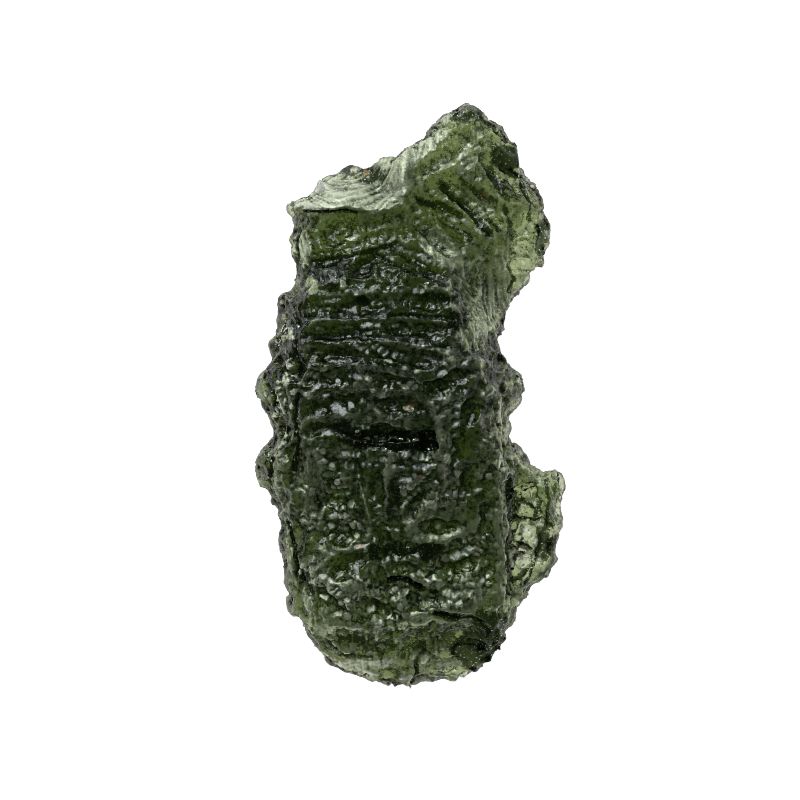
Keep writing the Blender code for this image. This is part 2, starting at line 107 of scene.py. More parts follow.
def select_only(piece: bpy.types.Object) -> None:
    """Selects one object and makes it the active one.

    Args:
        piece: The object to select.
    """
    bpy.ops.object.select_all(action="DESELECT")
    piece.select_set(True)
    bpy.context.view_layer.objects.active = piece


def vertex_array(mesh: bpy.types.Mesh, what: str = "vertices", field_name: str = "co") -> np.ndarray:
    """Reads a field of three numbers from a mesh.

    Args:
        mesh: The mesh to read.
        what: The collection that holds the field.
        field_name: The field's name.

    Returns:
        One row of three numbers for each item.
    """
    items = getattr(mesh, what)
    values = np.empty(len(items) * 3)
    items.foreach_get(field_name, values)
    return values.reshape(-1, 3)


@dataclass(frozen=True)
class BeadRow:
    """A row of small bright facets that all lean towards the light, each with a glint painted on its middle,
    in units of the drawing.
    """

    start: Point
    end: Point
    height: float
    beads: int
    lean: float = 1.0

    def facets(self) -> list[tuple[Point, Point, float]]:
        """Shares the row out between its beads.

        Returns:
            Each facet's middle, its half length and half height, all in millimetres, and its turn.
        """
        (x0, y0), (x1, y1) = on_face(self.start), on_face(self.end)
        turn = math.atan2(y1 - y0, x1 - x0)
        half_length = 0.5 * math.hypot(x1 - x0, y1 - y0) / self.beads
        half_height = BEAD_HALF_HEIGHT * self.height * DRAWING_UNIT
        half_size = (max(half_length, half_height * BEAD_SHORTEST), half_height)
        found = []
        for number in range(self.beads):
            shift = BEAD_SHIFT * math.sin(BEAD_SHIFT_PACE * number + self.start[0])
            along = (number + 0.5 + shift) / self.beads
            stray = BEAD_STRAY * math.sin(BEAD_STRAY_PACE * number + self.start[1])
            middle = (x0 + (x1 - x0) * along + stray, y0 + (y1 - y0) * along - stray)
            found.append((middle, half_size, turn))
        return found


@dataclass(frozen=True)
class Stroke:
    """A line drawn on the face, in units of the drawing."""

    line: tuple[Point, ...]
    width: float
    strength: float

    def share(self, x: np.ndarray, y: np.ndarray) -> np.ndarray:
        """Works out how much of the stroke shows at each place.

        Args:
            x: Places along the breadth, in millimetres.
            y: Places along the length, in millimetres.

        Returns:
            The stroke's strength on its line, easing to 0 at its edges.
        """
        points = [on_face(point) for point in self.line]
        nearest = np.full(x.shape, np.inf)
        for (ax, ay), (bx, by) in zip(points, points[1:]):
            span = (bx - ax) ** 2 + (by - ay) ** 2
            run = np.clip(((x - ax) * (bx - ax) + (y - ay) * (by - ay)) / span, 0.0, 1.0)
            nearest = np.minimum(nearest, np.hypot(x - ax - run * (bx - ax), y - ay - run * (by - ay)))
        half = 0.5 * self.width * DRAWING_UNIT
        return self.strength * smooth_step(-nearest / half, *STROKE_EDGE)


@dataclass(frozen=True)
class Patch:
    """An oval place on the face, in units of the drawing, its length turned anticlockwise from +X."""

    centre: Point
    half_length: float
    half_width: float
    turn: float
    strength: float

    def share(self, x: np.ndarray, y: np.ndarray) -> np.ndarray:
        """Works out how much of the patch shows at each place.

        Args:
            x: Places along the breadth, in millimetres.
            y: Places along the length, in millimetres.

        Returns:
            The patch's strength in its middle, easing to 0 at its edge.
        """
        angle = math.radians(self.turn)
        middle = on_face(self.centre)
        off_x, off_y = x - middle[0], y - middle[1]
        along = (off_x * math.cos(angle) + off_y * math.sin(angle)) / (self.half_length * DRAWING_UNIT)
        across = (off_y * math.cos(angle) - off_x * math.sin(angle)) / (self.half_width * DRAWING_UNIT)
        return self.strength * smooth_step(-(along**2 + across**2), *PATCH_EDGE)


def bead_rows(*rows: tuple[float, ...]) -> tuple[BeadRow, ...]:
    """Makes bead rows of their ends' four numbers, height, number of beads and, where given, lean."""
    return tuple(BeadRow((row[0], row[1]), (row[2], row[3]), *row[4:]) for row in rows)


def strokes(*rows: tuple) -> tuple[Stroke, ...]:
    """Makes strokes of their width, strength and points."""
    return tuple(Stroke(row[2:], row[0], row[1]) for row in rows)


def patches(*rows: tuple[float, ...]) -> tuple[Patch, ...]:
    """Makes patches of their centre's two numbers, half length, half width, turn and strength."""
    return tuple(Patch((row[0], row[1]), *row[2:]) for row in rows)


UPPER_BEADS = bead_rows(
    (314, 258, 337, 255, 6, 4), (323, 276, 330, 272, 5, 2), (341, 273, 350, 272, 5, 2),
    (367, 249, 376, 242, 6, 2), (386, 246, 396, 239, 5, 3), (398, 250, 412, 256, 6, 3),
    (418, 256, 431, 265, 7, 3), (433, 242, 440, 250, 6, 2), (406, 267, 425, 272, 3, 4),
    (441, 273, 445, 276, 4, 1), (410, 222, 418, 225, 6, 1), (420, 228, 428, 229, 5, 1),
    (421, 220, 446, 216, 5, 5), (448, 216, 455, 222, 7, 1), (462, 220, 470, 228, 6, 2),
    (429, 192, 447, 203, 6, 4), (448, 188, 459, 197, 7, 2), (471, 205, 480, 217, 8, 3),
    (485, 208, 495, 225, 6, 3), (460, 246, 463, 255, 5, 1), (502, 198, 505, 206, 5, 1),
    (475, 181, 482, 184, 5, 1), (480, 152, 484, 150, 5, 1), (492, 158, 496, 153, 5, 1),
    (473, 134, 480, 139, 6, 1), (470, 124, 480, 127, 5, 2), (486, 131, 498, 133, 4, 2),
    (449, 118, 456, 112, 7, 1),
)

MIDDLE_BEADS = bead_rows(
    (355, 295, 368, 294, 6, 3), (371, 290, 380, 291, 4, 2), (394, 292, 403, 292, 5, 2),
    (413, 293, 425, 292, 7, 2), (321, 303, 342, 302, 6, 4), (371, 305, 381, 305, 6, 2),
    (402, 306, 413, 307, 6, 2), (418, 308, 448, 309, 4, 5), (352, 312, 360, 312, 7, 1),
    (303, 313, 317, 314, 5, 3), (317, 329, 325, 330, 4, 2), (339, 328, 353, 328, 4, 3),
    (360, 327, 374, 326, 7, 3), (376, 326, 382, 327, 6, 1), (385, 328, 400, 327, 4, 3),
    (403, 332, 412, 333, 5, 2), (430, 340, 442, 340, 6, 3), (425, 350, 434, 350, 4, 2),
    (361, 347, 369, 356, 7, 2), (375, 346, 388, 357, 8, 3), (393, 355, 411, 361, 8, 3),
    (302, 355, 309, 357, 5, 2), (315, 353, 323, 353, 3, 2), (330, 362, 354, 362, 5, 5),
    (309, 372, 318, 376, 7, 2), (323, 374, 333, 377, 4, 2), (340, 374, 364, 378, 6, 4),
    (300, 384, 308, 386, 5, 2), (312, 391, 324, 384, 6, 3), (335, 382, 340, 380, 5, 1),
    (324, 396, 333, 394, 5, 2), (383, 385, 400, 386, 8, 3), (376, 384, 380, 382, 5, 1),
    (402, 368, 409, 369, 5, 1), (409, 381, 416, 388, 7, 2), (419, 388, 427, 388, 5, 2),
    (437, 376, 446, 370, 8, 2), (455, 391, 466, 391, 8, 2), (459, 366, 466, 362, 6, 1),
    (433, 398, 443, 399, 4, 2), (333, 404, 346, 412, 9, 3), (350, 406, 358, 406, 9, 1),
    (388, 417, 402, 416, 5, 3), (456, 402, 454, 438, 7, 4),
)

LOWER_BEADS = bead_rows(
    (354, 426, 371, 426, 5, 3), (354, 431, 361, 431, 7, 1), (322, 433, 332, 434, 7, 2),
    (450, 447, 453, 452, 7, 1), (341, 452, 362, 453, 7, 4), (380, 458, 388, 458, 6, 2),
    (396, 453, 410, 452, 7, 2), (412, 455, 426, 456, 7, 2), (350, 465, 357, 464, 7, 1),
    (363, 464, 379, 463, 5, 3), (396, 466, 404, 466, 6, 2), (411, 466, 432, 465, 6, 4),
    (452, 463, 458, 466, 6, 1), (324, 473, 347, 472, 5, 4), (397, 478, 411, 479, 7, 2),
    (400, 485, 406, 485, 7, 1), (425, 485, 438, 479, 6, 3), (400, 505, 420, 486, 6, 5),
    (333, 492, 350, 491, 7, 3), (329, 501, 344, 500, 6, 3), (314, 513, 322, 514, 8, 2),
    (329, 515, 350, 514, 6, 4), (315, 523, 318, 521, 6, 1), (325, 528, 336, 522, 8, 2),
    (345, 527, 349, 527, 6, 1), (371, 494, 378, 506, 9, 2), (372, 514, 380, 522, 6, 2),
    (423, 522, 426, 524, 8, 1), (434, 524, 440, 523, 9, 1), (381, 524, 401, 529, 6, 3),
    (374, 534, 378, 540, 6, 1), (355, 545, 371, 543, 6, 4), (405, 544, 413, 544, 7, 1),
    (384, 556, 390, 556, 7, 1), (395, 556, 419, 553, 7, 5), (445, 491, 470, 494, 7, 4),
)

FOOT_BEADS = bead_rows(
    (450, 556, 460, 550, 10, 2), (464, 552, 470, 545, 9, 2), (393, 569, 407, 564, 6, 3),
    (436, 572, 453, 571, 9, 3), (461, 563, 469, 563, 7, 1), (479, 557, 484, 562, 8, 2),
    (425, 570, 429, 572, 6, 1), (460, 575, 468, 573, 8, 2), (478, 577, 482, 581, 8, 1),
    (443, 588, 457, 593, 9, 3), (463, 590, 472, 592, 8, 2), (484, 607, 488, 609, 7, 1),
    (403, 588, 407, 590, 8, 1), (350, 567, 360, 567, 9, 2), (365, 580, 370, 578, 6, 1),
    (375, 590, 380, 588, 6, 1), (369, 607, 378, 603, 8, 1), (371, 615, 378, 616, 6, 1),
    (320, 607, 329, 608, 6, 2), (342, 627, 348, 633, 6, 2), (370, 640, 374, 641, 4, 1),
    (393, 634, 399, 631, 6, 1), (431, 625, 437, 622, 8, 1), (454, 636, 462, 630, 5, 2),
    (514, 494, 531, 489, 11, 2), (517, 506, 524, 509, 8, 1), (518, 528, 531, 533, 13, 2),
    (513, 522, 515, 530, 6, 1), (517, 552, 525, 563, 10, 2), (534, 500, 538, 506, 7, 1),
    (514, 540, 522, 543, 8, 1), (535, 520, 541, 524, 8, 1), (513, 572, 519, 568, 8, 1),
)

LOBE_BEADS = bead_rows(
    (530, 221, 522, 238, 12, 2, 0.8), (519, 230, 513, 245, 8, 2, 0.8), (522, 243, 516, 258, 11, 2, 0.8),
    (529, 240, 526, 254, 7, 2, 0.8), (511, 265, 527, 263, 10, 2, 0.8), (283, 331, 295, 331, 9, 2),
    (272, 344, 281, 342, 7, 1), (290, 362, 294, 369, 6, 1), (280, 385, 287, 404, 8, 3),
    (276, 414, 281, 408, 7, 1), (283, 457, 288, 462, 6, 1), (293, 236, 297, 257, 6, 3),
    (434, 664, 457, 661, 8, 3), (400, 678, 412, 677, 6, 2), (413, 650, 428, 660, 14, 2),
    (460, 155, 470, 171, 9, 3), (303, 513, 306, 522, 6, 1), (311, 191, 322, 186, 12, 2),
    (300, 200, 312, 196, 8, 2), (334, 585, 341, 593, 9, 2), (339, 599, 350, 597, 7, 2),
    (310, 565, 317, 566, 7, 1), (347, 241, 357, 240, 6, 1),
)

# Cracks, worn into the glass and painted darker along their line: painted shade in them.
CRACKS = strokes(
    (5, 0.8, (508, 476), (510, 520), (507, 560), (511, 592)),
    (4, 0.7, (531, 482), (536, 498), (533, 520)), (3, 0.7, (517, 499), (528, 503), (540, 512)),
    (4, 0.8, (512, 513), (521, 517), (532, 520)), (5, 0.8, (536, 520), (541, 540), (536, 556)),
    (4, 0.8, (516, 542), (526, 546), (533, 558), (528, 574)),
    (4, 0.6, (545, 480), (548, 500), (545, 525), (538, 548)),
    (4, 0.7, (512, 580), (522, 572), (530, 560)), (3, 0.8, (298, 262), (299, 240), (302, 228)),
    (5, 0.6, (294, 300), (299, 322), (297, 345), (302, 372)),
    (5, 0.8, (268, 385), (276, 400), (272, 415)),
    (4, 0.7, (263, 445), (272, 458), (268, 480), (276, 498)),
    (5, 0.6, (300, 395), (296, 420), (300, 440), (297, 470)),
    (4, 0.7, (288, 520), (296, 545), (297, 575)), (4, 0.7, (478, 120), (492, 128), (508, 142)),
    (4, 0.7, (452, 122), (464, 117), (476, 116)), (4, 0.6, (520, 185), (530, 205), (534, 222)),
    (5, 0.7, (500, 170), (514, 178), (524, 176)), (4, 0.6, (508, 268), (514, 280), (508, 292)),
    (2.5, 0.6, (514, 257), (523, 256), (531, 249)), (2, 0.5, (532, 226), (527, 238), (530, 248)),
    (4, 0.6, (505, 372), (500, 386), (506, 402)), (4, 0.5, (325, 640), (345, 655), (372, 656)),
    (4, 0.8, (415, 660), (418, 672), (412, 682)),
)

# Satin places; the strongest, above 0.8, are painted white, partly frost and partly painted glow.
SATIN_PATCHES = patches(
    (335, 195, 45, 16, 8, 0.76), (317, 190, 9, 8, 45, 1.0), (305, 208, 14, 4, -10, 0.8),
    (385, 180, 42, 25, 50, 0.62), (425, 150, 30, 7, 38, 0.62), (450, 118, 10, 5, 50, 0.7),
    (484, 120, 9, 4, -60, 0.65), (490, 300, 48, 17, 72, 0.5), (522, 236, 14, 4, 72, 0.8),
    (519, 264, 8, 3, 5, 0.8), (513, 388, 12, 8, 90, 0.15), (520, 383, 3, 3, 0, 0.8),
    (501, 420, 20, 6, 95, 0.5), (555, 506, 20, 4, 92, 0.15), (522, 491, 6, 4, 10, 0.3),
    (295, 246, 12, 3, 85, 0.95), (305, 253, 18, 6, 88, 0.55), (310, 284, 14, 6, -72, 0.4),
    (289, 335, 8, 7, 90, 0.6), (276, 343, 6, 5, 0, 0.5), (292, 365, 5, 3, 90, 0.8),
    (265, 373, 2, 2, 0, 0.9), (285, 459, 4, 3, 90, 0.6), (305, 517, 6, 3, 90, 0.5),
    (365, 663, 32, 7, 4, 0.65), (368, 672, 12, 4, -8, 0.8), (406, 677, 7, 3, 0, 0.95),
    (409, 683, 6, 5, 0, 0.4), (446, 663, 13, 4, 5, 1.0), (420, 655, 10, 9, 90, 0.65),
    (443, 675, 12, 3, 0, 0.4), (313, 565, 6, 5, 0, 0.6), (338, 588, 8, 7, 90, 0.7),
    (345, 598, 8, 4, 0, 0.6), (350, 585, 6, 5, 90, 0.5), (365, 583, 5, 4, 0, 0.5),
    (462, 162, 9, 5, -60, 0.75), (445, 165, 10, 8, 0, 0.4), (352, 241, 5, 3, 0, 0.8),
    (458, 605, 18, 9, 0, 0.35), (312, 470, 20, 14, 90, 0.38), (318, 572, 18, 14, -30, 0.5),
    (355, 595, 26, 14, -25, 0.4), (420, 590, 28, 14, 0, 0.45), (462, 595, 24, 16, 10, 0.5),
    (400, 620, 32, 11, 5, 0.4), (345, 630, 26, 14, -35, 0.4), (345, 540, 30, 9, 15, 0.1),
    (318, 498, 26, 11, 80, 0.45), (440, 250, 26, 14, -40, 0.45), (475, 200, 22, 12, -45, 0.45),
    (470, 180, 10, 6, -45, 0.4), (535, 531, 10, 9, 80, 0.55), (512, 566, 12, 4, 85, 0.4),
    (541, 510, 10, 4, 80, 0.3), (505, 545, 30, 5, 92, 0.3), (430, 645, 14, 10, 0, 0.5),
    (373, 430, 30, 6, 0, 0.1), (529, 250, 8, 3, 60, 0.7),
)

SATIN_STROKES = strokes(
    (9, 0.4, (448, 285), (451, 300), (455, 315), (462, 335), (466, 350)),
    (15, 0.36, (392, 440), (388, 470), (388, 500), (398, 514), (420, 507), (436, 497)),
    (11, 0.36, (432, 408), (438, 430), (437, 455)), (9, 0.26, (441, 455), (442, 480), (441, 500)),
    (15, 0.36, (405, 520), (418, 536), (440, 538), (460, 530), (478, 520), (494, 514)),
    (9, 0.42, (494, 435), (505, 450), (517, 462), (534, 477), (551, 492)),
    (18, 0.25, (500, 450), (502, 500), (498, 560), (500, 600), (506, 640)),
    (9, 0.75, (288, 375), (281, 392), (284, 405), (276, 416)),
    (7, 0.45, (304, 590), (310, 610), (313, 640), (330, 656), (345, 665)),
    (5, 0.45, (309, 597), (316, 615), (318, 625)),
    (9, 0.3, (280, 440), (276, 470), (284, 500), (290, 540), (295, 580)),
)

HAIR_LINES = strokes(
    (1.6, 0.8, (430, 168), (454, 167)), (1.6, 0.7, (419, 185), (435, 174), (453, 168)),
    (1.6, 0.75, (359, 432), (357, 456), (361, 489), (367, 506), (375, 536), (381, 555), (390, 576)),
    (1.8, 0.8, (383, 562), (391, 580), (397, 602)), (1.6, 0.6, (372, 568), (385, 592)),
    (1.6, 0.6, (345, 553), (371, 541)), (1.8, 0.9, (384, 396), (387, 390), (393, 389)),
)

# Valleys, worn into the glass and painted darker along their floors: painted shade.
VALLEYS_PAINTED_DARK = strokes(
    (3, 0.9, (303, 213), (330, 215), (357, 216)), (7, 0.45, (460, 183), (475, 195), (492, 204)),
    (9, 0.48, (443, 188), (462, 205), (476, 218), (488, 235)),
    (7, 0.4, (420, 203), (441, 208), (458, 218)), (8, 0.5, (490, 173), (498, 188), (506, 200)),
    (6, 0.4, (503, 210), (510, 225), (512, 240)),
    (8, 0.95, (436, 611), (451, 615), (470, 616), (487, 627), (493, 642)),
    (6, 0.9, (390, 578), (405, 577), (422, 588)),
    (9, 0.8, (345, 433), (372, 437), (400, 436), (430, 435)),
    (6, 0.45, (314, 263), (342, 260), (368, 254), (393, 247)),
    (6, 0.45, (372, 256), (400, 269), (428, 276), (446, 287)),
    (6, 0.4, (300, 318), (350, 317), (400, 316), (448, 320)),
    (5, 0.3, (300, 340), (350, 337), (400, 340), (446, 347)),
    (9, 0.8, (358, 444), (385, 447), (408, 447), (434, 445)),
)

# Places painted nearly black where the glass lies in shade: painted shade.
PAINTED_SHADE_PATCHES = patches(
    (405, 640, 75, 17, 2, 0.14), (466, 655, 18, 9, -38, 0.75), (552, 505, 24, 7, 85, 0.3),
    (482, 634, 24, 17, 70, 0.7), (510, 640, 10, 8, 0, 0.8), (506, 160, 16, 13, -35, 0.8),
    (541, 240, 18, 6, 90, 0.6), (488, 645, 20, 14, 80, 1.0), (468, 116, 16, 9, 0, 0.5),
    (307, 575, 6, 5, 0, 0.95), (395, 440, 38, 9, 0, 0.8), (432, 550, 15, 9, 0, 0.7),
    (376, 550, 8, 5, 90, 0.7), (362, 302, 8, 3, 0, 0.6), (330, 270, 30, 8, 10, 0.3),
    (365, 441, 24, 6, 0, 0.7), (455, 322, 10, 8, -60, 0.5), (440, 300, 22, 4, 0, 0.4),
    (393, 500, 7, 20, 0, 0.4), (400, 548, 16, 7, 0, 0.5), (346, 428, 14, 5, 0, 0.5),
    (545, 545, 6, 14, 0, 0.6), (512, 505, 4, 16, 0, 0.5), (370, 176, 14, 9, 0, 0.35),
    (345, 265, 32, 14, 0, 0.22), (345, 166, 20, 4, 10, 0.35), (470, 640, 12, 10, 0, 0.6),
    (497, 620, 8, 12, 0, 0.7),
)

CLEAR_PATCHES = patches(
    (522, 491, 12, 8, 10, 0.8), (521, 508, 6, 5, 90, 0.7), (525, 531, 12, 9, -20, 0.8),
    (521, 558, 9, 8, 90, 0.7), (518, 541, 6, 5, 0, 0.6), (538, 522, 5, 5, 0, 0.5),
    (516, 570, 6, 5, 0, 0.6), (536, 503, 5, 4, 90, 0.5), (523, 240, 25, 10, 72, 1.3),
    (519, 265, 11, 7, 5, 1.3),
)

GRAIN_PATCHES = patches(
    (322, 470, 26, 34, 0, 0.75), (335, 515, 28, 30, 0, 0.95), (330, 580, 34, 22, -20, 0.9),
    (375, 605, 42, 22, 0, 0.95), (440, 580, 55, 30, 5, 0.95), (465, 548, 26, 12, 10, 0.7),
    (395, 555, 34, 12, 0, 0.75), (528, 525, 22, 48, 0, 0.85), (478, 480, 16, 40, 0, 0.45),
    (425, 475, 34, 34, 0, 0.65), (350, 640, 40, 16, -20, 0.5), (430, 640, 44, 16, 5, 0.5),
    (485, 345, 16, 60, 0, 0.3), (470, 185, 24, 30, -40, 0.5), (480, 135, 30, 18, 0, 0.55),
    (340, 400, 40, 60, 0, 0.3), (400, 380, 60, 60, 0, 0.3), (350, 270, 50, 30, 0, 0.3),
    (280, 400, 18, 60, 0, 0.5), (500, 540, 12, 90, 0, 0.65),
)

SOIL_SPECKS = patches(
    (421, 476, 3, 1.5, -20, 1.0), (361, 544, 3, 3, 0, 0.6), (410, 405, 4, 4, 0, 0.5),
    (366, 173, 2.5, 2, 0, 0.9), (485, 196, 2.5, 2.5, 0, 0.6),
)

# The way that the etching ran, as an angle from +X, at places in millimetres.
FLOW: tuple[tuple[Point, float], ...] = (
    ((-3.0, 4.5), 0.0), ((1.0, 4.5), -4.0), ((-4.0, 1.5), 8.0), ((0.0, 1.5), -8.0), ((3.0, 1.0), 25.0),
    ((3.2, -1.0), 70.0), ((-4.0, -1.5), 8.0), ((-1.0, -1.5), 0.0), ((1.0, -3.5), 80.0), ((3.2, -4.5), 87.0),
    ((-4.0, -5.5), 5.0), ((-1.5, -5.0), 85.0), ((0.5, -7.0), -10.0), ((3.0, -7.5), 10.0),
    ((-4.0, -10.0), -40.0), ((0.0, -10.5), -8.0), ((3.0, -9.5), 15.0), ((-3.0, -13.5), -16.0),
    ((2.0, -13.5), 5.0), ((2.5, 10.0), -46.0), ((1.0, 8.3), -35.0), ((4.5, 11.0), -58.0),
    ((0.5, 7.0), -25.0), ((-3.0, 7.2), 16.0), ((-4.2, 9.0), 30.0), ((2.5, 14.0), 25.0),
    ((4.6, 5.0), 84.0), ((6.4, -7.0), 80.0), ((-7.0, -4.0), 84.0), ((-6.8, -9.0), 86.0),
    ((6.5, 9.0), 70.0), ((-3.0, 11.6), 20.0), ((5.0, -8.0), 88.0),
)


@dataclass(frozen=True)
class Scoops:
    """A spread of small oval scoops over the whole stone, in millimetres."""

    spacing: float
    half_length: float
    half_width: float
    depth: float
    side_depth: float
    turn: float
    seed: int
    swell: Point = (0.75, 1.3)
    skew: float = 0.35
    side_fall: Point = (1.3, 1.6)


@dataclass(frozen=True)
class Grains:
    """The small pale grains of broken ground, in millimetres, and how they lean and end."""

    size: float = 0.45
    lean: Point = (0.22, 0.55)
    softness: float = 0.25
    edge: Point = (0.03, 0.2)
    lift_edge: float = 0.12
    gap: float = 0.2
    tint_pace: float = 31.7
    lean_pace: float = 17.3


@dataclass(frozen=True)
class Sweep:
    """The fine swept lines of the satin places: rings round the chip's centre, and streaks elsewhere."""

    chip_centre: Point = (345, 150)
    chip_lowest_y: float = 9.0
    chip_farthest_x: float = 2.0
    ring_stretch: float = 1.3
    streak_stretch: float = 0.35
    streak_slant: float = 0.12
    warp: float = 0.25
    warp_pace: float = 0.8
    warp_layer: float = 3.0
    along_pace: float = 1.2
    across_pace: float = 6.5
    line_layer: float = 7.0
    sharpness: float = 2.2
    satin_edge: Point = (0.1, 0.45)


@dataclass(frozen=True)
class Facets:
    """The bright facets: how they lean to the light, in height to length, and how they end."""

    lean: float = 0.51
    spread: float = 0.06
    seed: int = 5
    strength: Point = (0.75, 1.0)
    least_rise: float = 0.3
    reach: float = 1.6
    edge: Point = (-1.6, -0.7)
    bead_edge: Point = (-1.5, -0.4)


@dataclass(frozen=True)
class Slopes:
    """The kinds of ground, by the outward direction's rise, or its lean to the light, at both edges."""

    upward: Point = (0.15, 0.5)
    facing: Point = (-0.1, 0.15)
    level: Point = (0.2, 0.8)
    below: Point = (0.1, 0.5)
    lit: Point = (0.08, 0.35)


@dataclass(frozen=True)
class Depths:
    """How deep each marking is worn into the glass, in millimetres, below 0 where it stands up."""

    valley_painted_dark: float = 0.18
    ridge: float = -0.09
    striae: float = 0.03
    side: float = -0.14
    clear: float = 0.45
    gap: float = 0.03
    granule: float = -0.03
    hair: float = -0.02


@dataclass(frozen=True)
class Tones:
    """How much lighter each marking makes the glass, below 0 where it darkens it; the crests, swells, gaps,
    drawn patches and steep sides paint light and shade.
    """

    ground: float = 0.5
    satin: float = 0.35
    # Painted light on the crests.
    crest: float = 0.2
    # Painted light on the swells and painted shade in the hollows.
    swell: float = 0.3
    hair: float = 0.4
    granule: float = 0.55
    # Painted shade in the gaps between grains.
    gap: float = -0.6
    # Painted shade of the drawn patches and valleys.
    painted_shade: float = -2.2
    striae: float = -0.3
    # Painted shade on the steep sides.
    side: float = -0.3
    clear: float = 0.7
    below: float = 2.0
    darkest: float = -2.0


@dataclass(frozen=True)
class Frosting:
    """How frosted each marking is, below 0 where it is clearer than the ground."""

    granule: float = 0.75
    crest: float = 0.15
    # Frost taken off the slopes that face the lamp: painted shade.
    dimmed_facing_lamp: float = -0.4
    clear: float = -0.6
    clearest: float = -0.6


@dataclass(frozen=True)
class Fading:
    """The share of one kind of etching that another kind takes away where it is whole."""

    pits_in_satin: float = 0.85
    granules_in_satin: float = 0.5
    specks_in_satin: float = 0.75
    specks_on_facets: float = 0.85
    specks_on_granules: float = 0.7
    whole_satin: float = 0.6
    calm_satin: float = 0.3


@dataclass
class Stone:
    """The moldavite's own mesh: the CAD solid made finer, then etched."""

    node: str = "moldavite"
    weld: float = 0.0005
    grain: float = 0.085
    soften: int = 22
    soften_by: float = 0.5
    back_rise: float = -0.35
    back_share: float = 0.3
    most_triangles: int = 196000
    slopes: Slopes = Slopes()
    depths: Depths = Depths()
    tones: Tones = Tones()
    frosting: Frosting = Frosting()
    fading: Fading = Fading()
    pits: Scoops = Scoops(0.78, 0.7, 0.42, 0.1, 0.42, 0.0, 11)
    specks: Scoops = Scoops(0.27, 0.24, 0.15, 0.046, 0.05, 90.0, 23)
    grains: Grains = Grains()
    sweep: Sweep = Sweep()
    facets: Facets = Facets()
    beads: tuple[BeadRow, ...] = UPPER_BEADS + MIDDLE_BEADS + LOWER_BEADS + FOOT_BEADS + LOBE_BEADS
    flow_reach: float = 0.3
    flow_falloff: float = 1.5
    light_turn: float = LIGHT_TURN
    raggedness: tuple[Point, ...] = ((0.8, 0.12), (2.4, 0.2), (6.0, 0.14))
    ragged_seed: int = 7
    crest_rounds: int = 2
    crest_height: Point = (0.004, 0.02)
    swell_rounds: int = 24
    swell_height: float = 0.05
    least_share: float = 0.05

    def build(self) -> bpy.types.Object:
        """Makes the etched stone.

        Returns:
            The finished piece, at the origin, in metres.
        """
        piece = self.finer_copy()
        self.etch(piece.data)
        self.thin_out(piece)
        piece.data.transform(Matrix.Scale(MILLIMETRE, 4))
        piece.data.shade_smooth()
        return piece

    def finer_copy(self) -> bpy.types.Object:
        """Copies the CAD solid in millimetres, on a finer grain and with its facets eased.

        Returns:
            The copy.
        """
        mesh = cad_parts[self.node].data.copy()
        mesh.transform(Matrix.Scale(1.0 / MILLIMETRE, 4))
        mesh.materials.clear()
        piece = bpy.data.objects.new("etched_moldavite", mesh)
        bpy.context.scene.collection.objects.link(piece)
        select_only(piece)
        bpy.ops.object.mode_set(mode="EDIT")
        bpy.ops.mesh.select_all(action="SELECT")
        bpy.ops.mesh.remove_doubles(threshold=self.weld)
        bpy.ops.object.mode_set(mode="OBJECT")
        fine = piece.modifiers.new("fine grain", "REMESH")
        fine.mode = "VOXEL"
        fine.voxel_size = self.grain
        bpy.ops.object.modifier_apply(modifier=fine.name)
        ease = piece.modifiers.new("eased facets", "SMOOTH")
        ease.factor = self.soften_by
        ease.iterations = self.soften
        bpy.ops.object.modifier_apply(modifier=ease.name)
        return piece

    def flow(self, x: float, y: float) -> float:
        """Gives the direction that the etching ran in at a place, the mean of the nearest in FLOW.

        Args:
            x: The place along the breadth.
            y: The place along the length.

        Returns:
            The direction in radians, from +X towards +Y.
        """
        total_x, total_y = 0.0, 0.0
        for (px, py), turn in FLOW:
            weight = 1.0 / (self.flow_reach + (x - px) ** 2 + (y - py) ** 2) ** self.flow_falloff
            total_x += weight * math.cos(2.0 * math.radians(turn))
            total_y += weight * math.sin(2.0 * math.radians(turn))
        return 0.5 * math.atan2(total_y, total_x)

    def etch(self, mesh: bpy.types.Mesh) -> None:
        """Wears pits, valleys, bright facets and specks into the mesh, and notes how each place looks,
        painted shade, painted light and painted glints among it.

        Args:
            mesh: The stone's mesh, in millimetres.
        """
        slopes, depths, fading = self.slopes, self.depths, self.fading
        place = vertex_array(mesh)
        outward = vertex_array(mesh, "vertex_normals", "vector")
        x, y = place[:, 0].copy(), place[:, 1].copy()
        upward = smooth_step(outward[:, 2], *slopes.upward)
        ragged_x, ragged_y = self.ragged(place)
        ridge = self.drawn(SATIN_STROKES, ragged_x, ragged_y) * upward
        satin = np.maximum(ridge, self.drawn(SATIN_PATCHES, ragged_x, ragged_y) * upward)
        hair = self.drawn(HAIR_LINES, x, y) * upward
        # The valleys and the cracks are worn in, and also painted darker: painted shade.
        valley_painted_dark = self.drawn(VALLEYS_PAINTED_DARK + CRACKS, x, y) * upward
        facing = smooth_step(outward[:, 2], *slopes.facing)
        # Painted shade: the drawn patches and valleys darken the colour where the glass lies in shade.
        painted_shade = np.maximum(valley_painted_dark, self.drawn(PAINTED_SHADE_PATCHES, ragged_x, ragged_y) * facing)
        clear = self.drawn(CLEAR_PATCHES, ragged_x, ragged_y) * upward
        soil = self.drawn(SOIL_SPECKS, x, y) * upward
        striae = self.striae(x, y, satin)

        kept = 1.0 - fading.pits_in_satin * smooth_step(satin, 0.0, fading.whole_satin)
        worn = self.scatter(place, outward, self.pits) * kept
        turn = math.radians(self.light_turn)
